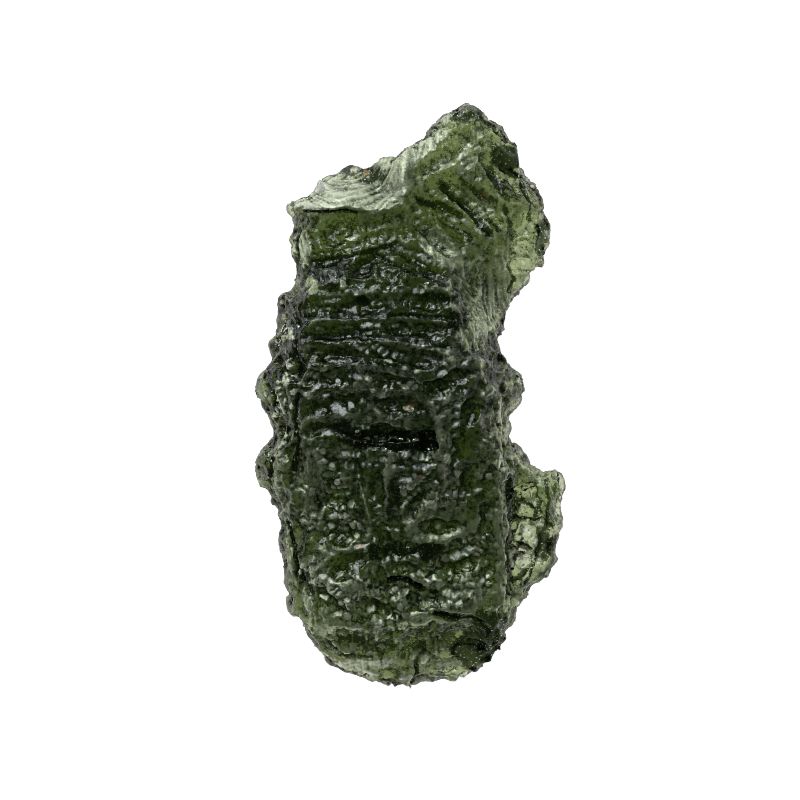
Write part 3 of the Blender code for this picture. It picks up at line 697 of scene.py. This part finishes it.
        # The slopes that face the lamp lose their frost below, so their colour is the deeper glass rather
        # than the pale veil: painted shade by how the light falls.
        lit = outward[:, 1] * math.cos(turn) - outward[:, 0] * math.sin(turn)
        bare = 1.0 - smooth_step(satin, 0.0, fading.calm_satin)
        dimmed_facing_lamp = smooth_step(lit, *slopes.lit) * upward * bare
        side = 1.0 - smooth_step(outward[:, 2], *slopes.level)
        worn += (depths.valley_painted_dark * valley_painted_dark + depths.ridge * ridge + depths.striae * striae
                 + depths.side * side + depths.clear * clear)
        place = place - outward * worn[:, None]
        facet, bead = self.lean_facets(place, outward)
        self.set_places(mesh, place)

        outward = vertex_array(mesh, "vertex_normals", "vector")
        granular = self.drawn(GRAIN_PATCHES, ragged_x, ragged_y) * upward
        granular = granular * (1.0 - satin * fading.granules_in_satin) * (1.0 - facet)
        granule, gap, lift = self.granules(place, granular * (1.0 - painted_shade))
        fine = self.scatter(place, outward, self.specks) * (1.0 - fading.specks_in_satin * satin)
        fine = fine * (1.0 - fading.specks_on_facets * facet) * (1.0 - fading.specks_on_granules * granule)
        fine = fine + depths.gap * gap + depths.granule * granule + depths.hair * hair
        place = place - outward * fine[:, None]
        place[:, 2] = np.maximum(place[:, 2] + lift, 0.0)
        self.set_places(mesh, place)

        tones, frosting = self.tones, self.frosting
        # Crests and swells are painted lighter and hollows darker in the tone below: painted light and
        # painted shade.
        crest = smooth_step(self.height_over_mean(mesh, self.crest_rounds), *self.crest_height)
        swell = np.clip(self.height_over_mean(mesh, self.swell_rounds) / self.swell_height, -1.0, 1.0)
        # The steep sides are painted darker in the tone below: painted shade.
        side = 1.0 - smooth_step(outward[:, 2], *slopes.level)
        below = smooth_step(-outward[:, 2], *slopes.below)
        # The tone holds the glass's own paleness, and also painted shade and painted light.
        shade = tones.ground + tones.satin * satin + tones.crest * crest + tones.swell * swell
        shade = shade + tones.hair * hair
        # The gaps between grains are painted darker: painted shade.
        shade += tones.granule * granule + tones.gap * gap
        shade += tones.painted_shade * painted_shade + tones.striae * striae + tones.side * side + tones.clear * clear
        shade = np.clip(shade + tones.below * below, tones.darkest, 1.0 + below)
        frosted = np.maximum(np.maximum(satin, hair), frosting.granule * granule) + frosting.crest * crest
        frosted = frosted - painted_shade + frosting.dimmed_facing_lamp * dimmed_facing_lamp + frosting.clear * clear - below
        self.note(mesh, Surface.SHADE, shade)
        self.note(mesh, Surface.SATIN, np.clip(frosted, frosting.clearest, 1.0))
        # The facets' middles, where a pale glint is painted.
        self.note(mesh, Surface.BEAD, bead * (1.0 - satin) * (1.0 - painted_shade))
        self.note(mesh, Surface.SOIL, soil)
        log.info("etched %d vertices", len(place))

    def granules(self, place: np.ndarray, share: np.ndarray) -> tuple[np.ndarray, np.ndarray, np.ndarray]:
        """Breaks the ground up into small pale grains, with gaps between them that are worn in and painted
        darker (painted shade).

        Args:
            place: The vertices' places.
            share: How many of the grains show at each place.

        Returns:
            The share of a grain and of a gap at each vertex, and how far a grain's lean lifts it.
        """
        grains, turn = self.grains, math.radians(self.light_turn)
        light = Vector((-math.sin(turn), math.cos(turn), 0.0))
        edge, tint, lift = np.ones(len(place)), np.zeros(len(place)), np.zeros(len(place))
        for index in np.nonzero(share > self.least_share)[0]:
            spot = Vector(place[index]) / grains.size
            away, seats = noise.voronoi(spot)
            edge[index] = away[1] - away[0]
            tint[index] = noise.cell(seats[0] * grains.tint_pace)
            leaning = noise.cell(seats[0] * grains.lean_pace)
            lean = grains.lean[0] + (grains.lean[1] - grains.lean[0]) * leaning
            lift[index] = -lean * grains.size * (spot - seats[0]).dot(light)
        shown = np.clip((tint - 1.0 + share) / grains.softness, 0.0, 1.0)
        grain = shown * smooth_step(edge, *grains.edge)
        lift *= shown * smooth_step(edge, 0.0, grains.lift_edge)
        return grain, share * (1.0 - smooth_step(edge, 0.0, grains.gap)), lift

    def ragged(self, place: np.ndarray) -> tuple[np.ndarray, np.ndarray]:
        """Shifts each place to and fro, so that what is drawn there gets a ragged edge.

        Args:
            place: The vertices' places.

        Returns:
            The shifted places along the breadth and along the length.
        """
        # Noise vectors are seeded by the clock until a seed is set, and differ from run to run.
        noise.seed_set(self.ragged_seed)
        shift = np.zeros_like(place)
        for scale, reach in self.raggedness:
            shift += reach * np.array([noise.noise_vector(Vector(co) * scale) for co in place.tolist()])
        return place[:, 0] + shift[:, 0], place[:, 1] + shift[:, 1]

    def drawn(self, shapes: tuple[Stroke | Patch, ...], x: np.ndarray, y: np.ndarray) -> np.ndarray:
        """Lays several drawn shapes over each other, the strongest showing.

        Args:
            shapes: The shapes.
            x: Places along the breadth.
            y: Places along the length.

        Returns:
            The share at each place.
        """
        total = np.zeros(len(x))
        for shape in shapes:
            total = np.maximum(total, shape.share(x, y))
        return total

    def striae(self, x: np.ndarray, y: np.ndarray, satin: np.ndarray) -> np.ndarray:
        """Draws the fine swept lines of the satin places.

        Args:
            x: Places along the breadth.
            y: Places along the length.
            satin: The satin share at each place.

        Returns:
            The lines' depth, from -1 to 1 where the surface is satin.
        """
        sweep = self.sweep
        chip_x, chip_y = on_face(sweep.chip_centre)
        lines = np.zeros(len(x))
        for index in np.nonzero(satin > self.least_share)[0]:
            px, py = x[index], y[index]
            if py > sweep.chip_lowest_y and px < sweep.chip_farthest_x:
                along = math.atan2(py - chip_y, px - chip_x) * sweep.ring_stretch
                across = math.hypot(px - chip_x, py - chip_y)
            else:
                along, across = py * sweep.streak_stretch, px + sweep.streak_slant * py
            warp = noise.noise(Vector((px * sweep.warp_pace, py * sweep.warp_pace, sweep.warp_layer)))
            across = (across + sweep.warp * warp) * sweep.across_pace
            lines[index] = noise.noise(Vector((along * sweep.along_pace, across, sweep.line_layer)))
        return np.clip(lines * sweep.sharpness, -1.0, 1.0) * smooth_step(satin, *sweep.satin_edge)

    def scatter(self, place: np.ndarray, outward: np.ndarray, scoops: Scoops) -> np.ndarray:
        """Spreads oval scoops all over the stone, at an angle to the flow of the etching.

        Args:
            place: The vertices' places.
            outward: The vertices' normals.
            scoops: The scoops' spacing, size and depth.

        Returns:
            The depth at each vertex.
        """
        tree = kdtree.KDTree(len(place))
        for index, co in enumerate(place.tolist()):
            tree.insert(co, index)
        tree.balance()
        draw = np.random.RandomState(scoops.seed)
        low, high = place.min(axis=0), place.max(axis=0)
        counts = np.ceil((high - low) / scoops.spacing).astype(int) + 1
        cells = np.stack(np.meshgrid(*[np.arange(count) for count in counts], indexing="ij"), -1)
        cells = cells.reshape(-1, 3)
        seats = low + (cells + draw.uniform(-0.5, 0.5, cells.shape)) * scoops.spacing
        swells = draw.uniform(*scoops.swell, len(cells))
        skews = draw.uniform(-scoops.skew, scoops.skew, len(cells))
        depth = np.zeros(len(place))
        for seat, swell, skew in zip(seats.tolist(), swells.tolist(), skews.tolist()):
            found, index, away = tree.find(seat)
            if away > 0.5 * scoops.spacing:
                continue
            normal = outward[index]
            angle = self.flow(found[0], found[1]) + math.radians(scoops.turn) + skew
            along = np.array([math.cos(angle), math.sin(angle), 0.0])
            along = along - normal * along.dot(normal)
            along = along / max(np.linalg.norm(along), TINY)
            half_length, half_width = scoops.half_length * swell, scoops.half_width * swell
            near = np.array([item[1] for item in tree.find_range(found, half_length)])
            off = place[near] - np.array(found)
            run = off @ along
            rest = np.einsum("ij,ij->i", off, off) - run**2
            bowl = 1.0 - (run / half_length) ** 2 - rest / half_width**2
            side = min(max(scoops.side_fall[0] - scoops.side_fall[1] * abs(normal[2]), 0.0), 1.0)
            deep = scoops.depth + (scoops.side_depth - scoops.depth) * side
            depth[near] = np.maximum(depth[near], deep * swell * bowl)
        return depth

    def lean_facets(self, place: np.ndarray, outward: np.ndarray) -> tuple[np.ndarray, np.ndarray]:
        """Turns each bead of the bright rows into a facet that leans towards the light.

        Args:
            place: The vertices' places, which are changed.
            outward: The vertices' normals.

        Returns:
            The share of a facet and the share of its middle, where a glint is painted, at each vertex.
        """
        facets, turn = self.facets, math.radians(self.light_turn)
        draw = np.random.RandomState(facets.seed)
        light = (-math.sin(turn), math.cos(turn))
        facet, bead = np.zeros(len(place)), np.zeros(len(place))
        upper = outward[:, 2] > facets.least_rise
        for row in self.beads:
            for (mx, my), (half_length, half_height), angle in row.facets():
                lean = row.lean * (facets.lean + draw.uniform(-1.0, 1.0) * facets.spread)
                strength = draw.uniform(*facets.strength)
                off_x, off_y = place[:, 0] - mx, place[:, 1] - my
                reach = (facets.reach * half_length) ** 2 + half_height**2
                near = np.nonzero(upper & (off_x**2 + off_y**2 < reach))[0]
                if len(near) == 0:
                    continue
                off_x, off_y = off_x[near], off_y[near]
                along = (off_x * math.cos(angle) + off_y * math.sin(angle)) / half_length
                across = (off_y * math.cos(angle) - off_x * math.sin(angle)) / half_height
                share = smooth_step(-(along**4 + across**4), *facets.edge)
                if share.sum() <= 0.0:
                    continue
                level = (place[near, 2] * share).sum() / share.sum()
                target = level - lean * (off_x * light[0] + off_y * light[1])
                place[near, 2] += share * (target - place[near, 2])
                facet[near] = np.maximum(facet[near], share)
                middle = strength * smooth_step(-(along**2 + across**2), *facets.bead_edge)
                bead[near] = np.maximum(bead[near], middle)
        return facet, bead

    def set_places(self, mesh: bpy.types.Mesh, place: np.ndarray) -> None:
        """Moves the mesh's vertices.

        Args:
            mesh: The mesh.
            place: The vertices' new places.
        """
        mesh.vertices.foreach_set("co", place.ravel())
        mesh.update()

    def height_over_mean(self, mesh: bpy.types.Mesh, rounds: int) -> np.ndarray:
        """Finds how far each vertex stands out of the ground around it.

        Args:
            mesh: The etched mesh.
            rounds: How many times each place is made the mean of its neighbours'.

        Returns:
            The height in millimetres, below 0 in hollows.
        """
        edges = np.empty(len(mesh.edges) * 2, int)
        mesh.edges.foreach_get("vertices", edges)
        first, second = edges.reshape(-1, 2).T
        place = vertex_array(mesh)
        outward = vertex_array(mesh, "vertex_normals", "vector")
        count = np.bincount(edges, minlength=len(place))[:, None]
        mean = place.copy()
        for _ in range(rounds):
            total = np.zeros_like(mean)
            for axis in range(3):
                total[:, axis] += np.bincount(first, mean[second, axis], len(place))
                total[:, axis] += np.bincount(second, mean[first, axis], len(place))
            mean = total / count
        return ((place - mean) * outward).sum(axis=1)

    def note(self, mesh: bpy.types.Mesh, surface: Surface, values: np.ndarray) -> None:
        """Keeps a share of a kind of surface as the mesh's attribute.

        Args:
            mesh: The mesh.
            surface: The kind of surface.
            values: Its share at each vertex.
        """
        layer = mesh.attributes.new(surface.value, "FLOAT", "POINT")
        layer.data.foreach_set("value", values.astype(np.float32))

    def thin_out(self, piece: bpy.types.Object) -> None:
        """Brings the mesh under its number of triangles, most of them kept on the face.

        Args:
            piece: The etched stone.
        """
        select_only(piece)
        bpy.ops.object.mode_set(mode="EDIT")
        bpy.ops.mesh.select_mode(type="VERT")
        bpy.ops.mesh.select_all(action="DESELECT")
        bpy.ops.object.mode_set(mode="OBJECT")
        mesh = piece.data
        outward = vertex_array(mesh, "vertex_normals", "vector")
        mesh.vertices.foreach_set("select", outward[:, 2] < self.back_rise)
        bpy.ops.object.mode_set(mode="EDIT")
        bpy.ops.mesh.decimate(ratio=self.back_share)
        bpy.ops.object.mode_set(mode="OBJECT")
        mesh.calc_loop_triangles()
        whole = len(mesh.loop_triangles)
        log.info("%d triangles before thinning", whole)
        if whole > self.most_triangles:
            fewer = piece.modifiers.new("fewer triangles", "DECIMATE")
            fewer.ratio = self.most_triangles / whole
            bpy.ops.object.modifier_apply(modifier=fewer.name)


class Number:
    """A number in a material's nodes, which can be added, multiplied and eased like any other."""

    def __init__(self, nodes: "Nodes", socket: bpy.types.NodeSocket) -> None:
        """Wraps a socket that gives the number."""
        self.nodes = nodes
        self.socket = socket

    def _with(self, operation: str, *values: object) -> "Number":
        """Adds a Math node on these values."""
        return self.nodes.make("ShaderNodeMath", {"operation": operation}, dict(enumerate(values)))

    def __add__(self, other: object) -> "Number":
        """Adds."""
        return self._with("ADD", self, other)

    __radd__ = __add__

    def __mul__(self, other: object) -> "Number":
        """Multiplies."""
        return self._with("MULTIPLY", self, other)

    __rmul__ = __mul__

    def __sub__(self, other: object) -> "Number":
        """Takes the other number away from this one."""
        return self._with("SUBTRACT", self, other)

    def __rsub__(self, other: object) -> "Number":
        """Takes this number away from the other one."""
        return self._with("SUBTRACT", other, self)

    def at_most(self, other: object) -> "Number":
        """Gives the smaller of the two."""
        return self._with("MINIMUM", self, other)

    def at_least(self, other: object) -> "Number":
        """Gives the larger of the two."""
        return self._with("MAXIMUM", self, other)

    def clamped(self, least: float = 0.0) -> "Number":
        """Keeps the number between the least one and 1."""
        return self.at_least(least).at_most(1.0)


# Where a Mix node has its factor and its two colours among its inputs, and its colour among its outputs.
MIX_INPUTS, MIX_OUTPUT = (0, 6, 7), 2


class Nodes:
    """The nodes of one material."""

    def __init__(self, name: str) -> None:
        """Makes an empty material.

        Args:
            name: The material's name.
        """
        self.material = bpy.data.materials.new(name)
        self.material.use_nodes = True
        self.tree = self.material.node_tree
        self.tree.nodes.clear()

    def make(self, kind: str, settings: dict | None = None, values: dict | None = None,
             out: int | str = 0) -> Number:
        """Adds a node.

        Args:
            kind: The node's type.
            settings: Its settings, set first.
            values: What its sockets get: a number, a colour or another node's output.
            out: The output to give back.

        Returns:
            The output, wrapped.
        """
        node = self.tree.nodes.new(kind)
        for name, value in (settings or {}).items():
            setattr(node, name, value)
        for name, value in (values or {}).items():
            if isinstance(value, Number):
                self.tree.links.new(value.socket, node.inputs[name])
            else:
                node.inputs[name].default_value = value
        return Number(self, node.outputs[out])

    def mix(self, share: Number, first: object, second: object) -> Number:
        """Mixes two colours.

        Args:
            share: How much of the second colour there is.
            first: The first colour, or an output that gives one.
            second: The second colour, or an output that gives one.

        Returns:
            The mixed colour.
        """
        colours = [(*colour, 1.0) if isinstance(colour, tuple) else colour for colour in (first, second)]
        sockets = dict(zip(MIX_INPUTS, (share, *colours)))
        return self.make("ShaderNodeMix", {"data_type": "RGBA"}, sockets, MIX_OUTPUT)

    def finish(self, surface: Number, volume: Number | None = None) -> bpy.types.Material:
        """Ends the material.

        Args:
            surface: The surface's shader.
            volume: The inside's shader, where it has one.

        Returns:
            The finished material.
        """
        output = self.tree.nodes.new("ShaderNodeOutputMaterial")
        self.tree.links.new(surface.socket, output.inputs["Surface"])
        if volume:
            self.tree.links.new(volume.socket, output.inputs["Volume"])
        return self.material


@dataclass(frozen=True)
class Fleck:
    """A natural unevenness of the glass: its fineness per metre, its layers and their roughness."""

    scale: float
    layers: float
    roughness: float = 0.5

    def make(self, nodes: Nodes, place: Number) -> Number:
        """Adds the unevenness to a material, from 0 to 1 with its middle at a half."""
        return nodes.make("ShaderNodeTexNoise", values={
            "Vector": place, "Scale": self.scale, "Detail": self.layers, "Roughness": self.roughness})


@dataclass(frozen=True)
class GreenGlass:
    """The stone's glass: clear green, absorbing with depth, glossy in hollows and satin on crests, with
    painted shade, painted glints and painted sparkle in its colour.

    A pair called a rise is where a share starts to show, and how fast it grows from there.
    """

    refraction: float = 1.49
    absorbed: Colour = (585.0, 495.0, 830.0)
    densest: float = 1.25
    # The colour at the bottom of the tone, where the painted shade is deepest.
    dark_colour: Colour = (0.02, 0.03, 0.01)
    clear_colour: Colour = (1.0, 1.0, 0.88)
    satin_dark: Colour = (0.012, 0.02, 0.004)
    haze_light: Colour = (0.38, 0.52, 0.14)
    satin_light: Colour = (0.74, 0.79, 0.6)
    # The white of the whitest satin and of the painted sparkle: partly frost, partly painted glow.
    white_colour: Colour = (0.92, 0.93, 0.88)
    # The colour of the painted glints.
    painted_glint_colour: Colour = (0.78, 0.82, 0.84)
    soil_colour: Colour = (0.55, 0.24, 0.1)
    grit: Fleck = Fleck(7500.0, 1.0)
    mottle: Fleck = Fleck(6000.0, 3.0, 0.85)
    spark: Fleck = Fleck(9000.0, 0.0)
    cloud: Fleck = Fleck(800.0, 1.0)
    blotch: Fleck = Fleck(3200.0, 2.0)
    # The painted sparkle: where it starts, how fast it grows, and its metal.
    glitter_rise: Point = (0.68, 12.0)
    glitter_lustre: float = 0.12
    haze: float = 0.42
    haze_rise: Point = (0.35, 3.0)
    haze_least: float = 0.15
    satin_frost: float = 1.25
    frost_fleck: float = 1.3
    frost_floor: float = 0.3
    gloss: float = 0.2
    satin: float = 0.55
    full_frost: float = 0.3
    satin_lustre: float = 0.8
    white_rise: Point = (0.8, 5.0)
    pale_rise: Point = (0.12, 1.7)
    rough_rise: Point = (0.8, 4.5)
    clear_rough: float = -0.5
    dark_lustre: float = -0.55
    mottle_tone: float = 3.0
    blotch_tone: float = 2.2
    satin_calm: float = 0.75
    # The painted glints: their gain, their mottle and the share they start above.
    bead_gain: float = 1.8
    bead_mottle: float = 4.0
    bead_floor: float = 0.6
    bead_rough: float = 0.36
    bead_lustre: float = 0.08
    bead_smooth: float = 0.85
    soil_rough: float = 0.9
    relief: float = 0.00002

    def make(self) -> bpy.types.Material:
        """Makes the material.

        Returns:
            The finished material.
        """
        nodes = Nodes("etched_green_glass")
        place = nodes.make("ShaderNodeTexCoord", out="Object")
        kinds = (Surface.SATIN, Surface.SHADE, Surface.SOIL, Surface.BEAD)
        satin, shade, soil, bead = [self.share(nodes, kind) for kind in kinds]
        flecks = (self.grit, self.mottle, self.spark, self.cloud, self.blotch)
        grit, mottle, spark, cloud, blotch = [fleck.make(nodes, place) for fleck in flecks]

        # Painted sparkle: sparse specks are painted white in the colour and given a little metal.
        painted_sparkle = self.rise(spark, self.glitter_rise).clamped()
        haze = self.rise(cloud, self.haze_rise).clamped(self.haze_least) * self.haze
        uneven = mottle * self.frost_fleck + blotch * self.frost_fleck - self.frost_floor
        frost = ((satin * self.satin_frost + haze) * uneven).clamped()
        # Painted glint: the facets' middles turn pale bluish grey in the colour.
        painted_glint = (bead * self.bead_gain + (mottle - 0.5) * self.bead_mottle - self.bead_floor).clamped() * bead
        grain = (mottle - 0.5) * self.mottle_tone + (blotch - 0.5) * self.blotch_tone
        # The tone, with its painted shade, sets how clear or near black the glass's colour is.
        tone = (shade + grain * (1.0 - satin * self.satin_calm)).clamped()

        glass = nodes.mix(tone, self.dark_colour, self.clear_colour)
        # The whitest satin paints the colour white, partly frost and partly painted glow where light comes
        # through the thin glass; the painted sparkle is white too.
        frost_and_painted_glow = self.rise(satin, self.white_rise).at_least(painted_sparkle).at_most(1.0)
        pale = nodes.mix(self.rise(satin, self.pale_rise).clamped(), self.haze_light, self.satin_light)
        # The veil darkens with the tone too, painted shade included.
        veil = nodes.mix(tone, self.satin_dark, pale)
        veil = nodes.mix(frost_and_painted_glow * tone.at_least(painted_sparkle), veil, self.white_colour)
        # The painted glints, the frost and the painted sparkle are mixed into the glass's colour.
        body = nodes.mix(painted_glint, nodes.mix(frost.at_least(painted_sparkle), glass, veil), self.painted_glint_colour)

        rough = frost.at_most(self.full_frost) * (self.satin - self.gloss) * (1.0 / self.full_frost)
        rough = (rough + self.gloss).at_least(soil * self.soil_rough).at_least(painted_glint * self.bead_rough)
        rough = rough.at_least(self.rise(satin, self.rough_rise)).at_least(satin * self.clear_rough)
        lustre = (frost * self.satin_lustre).at_least(soil).at_least(painted_sparkle * self.glitter_lustre)
        # Where the tone is painted deepest the glass turns to a near black metal, so the painted shade stays
        # black.
        lustre = lustre.at_least(painted_glint * self.bead_lustre).at_least(shade * self.dark_lustre)
        relief = nodes.make("ShaderNodeBump", values={
            "Strength": 1.0, "Distance": self.relief, "Height": grit * (1.0 - bead * self.bead_smooth)})
        surface = nodes.make("ShaderNodeBsdfPrincipled", values={
            "Base Color": nodes.mix(soil, body, self.soil_colour), "Roughness": rough.at_most(1.0),
            "Metallic": lustre.at_most(1.0), "IOR": self.refraction, "Transmission Weight": 1.0,
            "Normal": relief})
        density = max(self.absorbed) * self.densest
        tint = tuple(1.0 - value / density for value in self.absorbed)
        volume = nodes.make("ShaderNodeVolumeAbsorption", values={"Color": (*tint, 1.0), "Density": density})
        return nodes.finish(surface, volume)

    def share(self, nodes: Nodes, surface: Surface) -> Number:
        """Reads how much of a kind of surface there is."""
        return nodes.make("ShaderNodeAttribute", {"attribute_name": surface.value}, out="Fac")

    def rise(self, share: Number, start_and_gain: Point) -> Number:
        """Grows a share from where it starts to show, by its gain."""
        return (share - start_and_gain[0]) * start_and_gain[1]


@dataclass
class Studio:
    """The plain pale table, the soft light and the camera that looks straight down."""

    frame_width: float = 44.0
    centre: Point = (-0.58, -0.17)
    rim_height: float = 3.5
    lens: float = 180.0
    sensor: float = 36.0
    table_glow: float = 0.98
    surround: float = 0.05
    table_colour: Colour = (0.35, 0.35, 0.35)
    table_rough: float = 0.9
    table_gap: float = 0.00002
    table_sides: int = 96
    wall_radius: float = 1.2
    wall_height: float = 0.12
    key_brightness: float = 5.6
    key_distance: float = 0.5
    key_width: float = 0.27
    key_tilt: float = 54.0
    key_turn: float = LIGHT_TURN
    key_colour: Colour = (0.93, 0.97, 1.0)
    nearest_seen: float = 0.005

    def build(self) -> None:
        """Sets up the table, the light and the camera."""
        self.table()
        self.world()
        self.softbox()
        self.camera()

    def table(self) -> None:
        """Lays the round pale table that the stone rests on, with its low raised edge."""
        bpy.ops.object.select_all(action="DESELECT")
        bpy.ops.mesh.primitive_circle_add(
            vertices=self.table_sides, radius=self.wall_radius, fill_type="NOTHING", location=(0, 0, 0))
        top = bpy.context.object
        top.name = "table"
        bpy.ops.object.mode_set(mode="EDIT")
        bpy.ops.mesh.edge_face_add()
        bpy.ops.mesh.select_mode(type="EDGE")
        bpy.ops.mesh.select_all(action="SELECT")
        bpy.ops.mesh.extrude_edges_move(TRANSFORM_OT_translate={"value": (0.0, 0.0, self.wall_height)})
        bpy.ops.object.mode_set(mode="OBJECT")
        top.data.transform(Matrix.Translation((0.0, 0.0, -self.table_gap)))
        nodes = Nodes("pale_table")
        surface = nodes.make("ShaderNodeBsdfPrincipled", values={
            "Base Color": (*self.table_colour, 1.0), "Roughness": self.table_rough,
            "Emission Color": (1.0, 1.0, 1.0, 1.0), "Emission Strength": self.table_glow})
        top.data.materials.append(nodes.finish(surface))

    def world(self) -> None:
        """Fills the surroundings with even pale light."""
        world = bpy.data.worlds.new("pale_surround")
        world.use_nodes = True
        back = world.node_tree.nodes["Background"]
        back.inputs["Color"].default_value = (1.0, 1.0, 1.0, 1.0)
        back.inputs["Strength"].default_value = self.surround
        bpy.context.scene.world = world

    def softbox(self) -> None:
        """Hangs the soft square light over the stone."""
        tilt, turn = math.radians(self.key_tilt), math.radians(self.key_turn)
        away = Vector((-math.sin(tilt) * math.sin(turn), math.sin(tilt) * math.cos(turn), math.cos(tilt)))
        data = bpy.data.lights.new("softbox", "AREA")
        data.size = self.key_width
        data.energy = self.key_brightness * math.pi * self.key_width**2
        data.color = self.key_colour
        light = bpy.data.objects.new("softbox", data)
        light.location = away * self.key_distance
        light.rotation_mode = "QUATERNION"
        light.rotation_quaternion = away.to_track_quat("Z", "Y")
        bpy.context.scene.collection.objects.link(light)

    def camera(self) -> None:
        """Puts the camera straight above the stone, as the photograph was taken."""
        data = bpy.data.cameras.new("camera")
        data.lens = self.lens
        data.sensor_width = self.sensor
        data.clip_start = self.nearest_seen
        camera = bpy.data.objects.new("camera", data)
        distance = self.frame_width * self.lens / self.sensor
        camera.location = (self.centre[0] * MILLIMETRE, self.centre[1] * MILLIMETRE,
                           (self.rim_height + distance) * MILLIMETRE)
        bpy.context.scene.collection.objects.link(camera)
        bpy.context.scene.camera = camera


def set_picture(passes: int = 24, reflections: int = 8, sharpness: float = 0.9) -> None:
    """Sets how light is traced and shown.

    Args:
        passes: How many surfaces of the glass a ray may pass.
        reflections: How many times a ray may be reflected.
        sharpness: The width of the picture's filter, in pixels.
    """
    scene = bpy.context.scene
    scene.view_settings.view_transform = "Standard"
    scene.cycles.max_bounces = passes
    scene.cycles.transmission_bounces = passes
    scene.cycles.glossy_bounces = reflections
    scene.cycles.use_denoising = True
    scene.cycles.denoising_prefilter = "NONE"
    scene.cycles.filter_width = sharpness


def main() -> None:
    """Builds the stone, dresses it, and sets up the studio."""
    logging.basicConfig(level=logging.INFO, format="%(message)s")
    stone = Stone().build()
    stone.data.materials.append(GreenGlass().make())
    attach(stone, "root")
    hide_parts("moldavite")
    log.info("%s: %d polygons", stone.name, len(stone.data.polygons))
    Studio().build()
    set_picture()


if __name__ == "__main__":
    main()
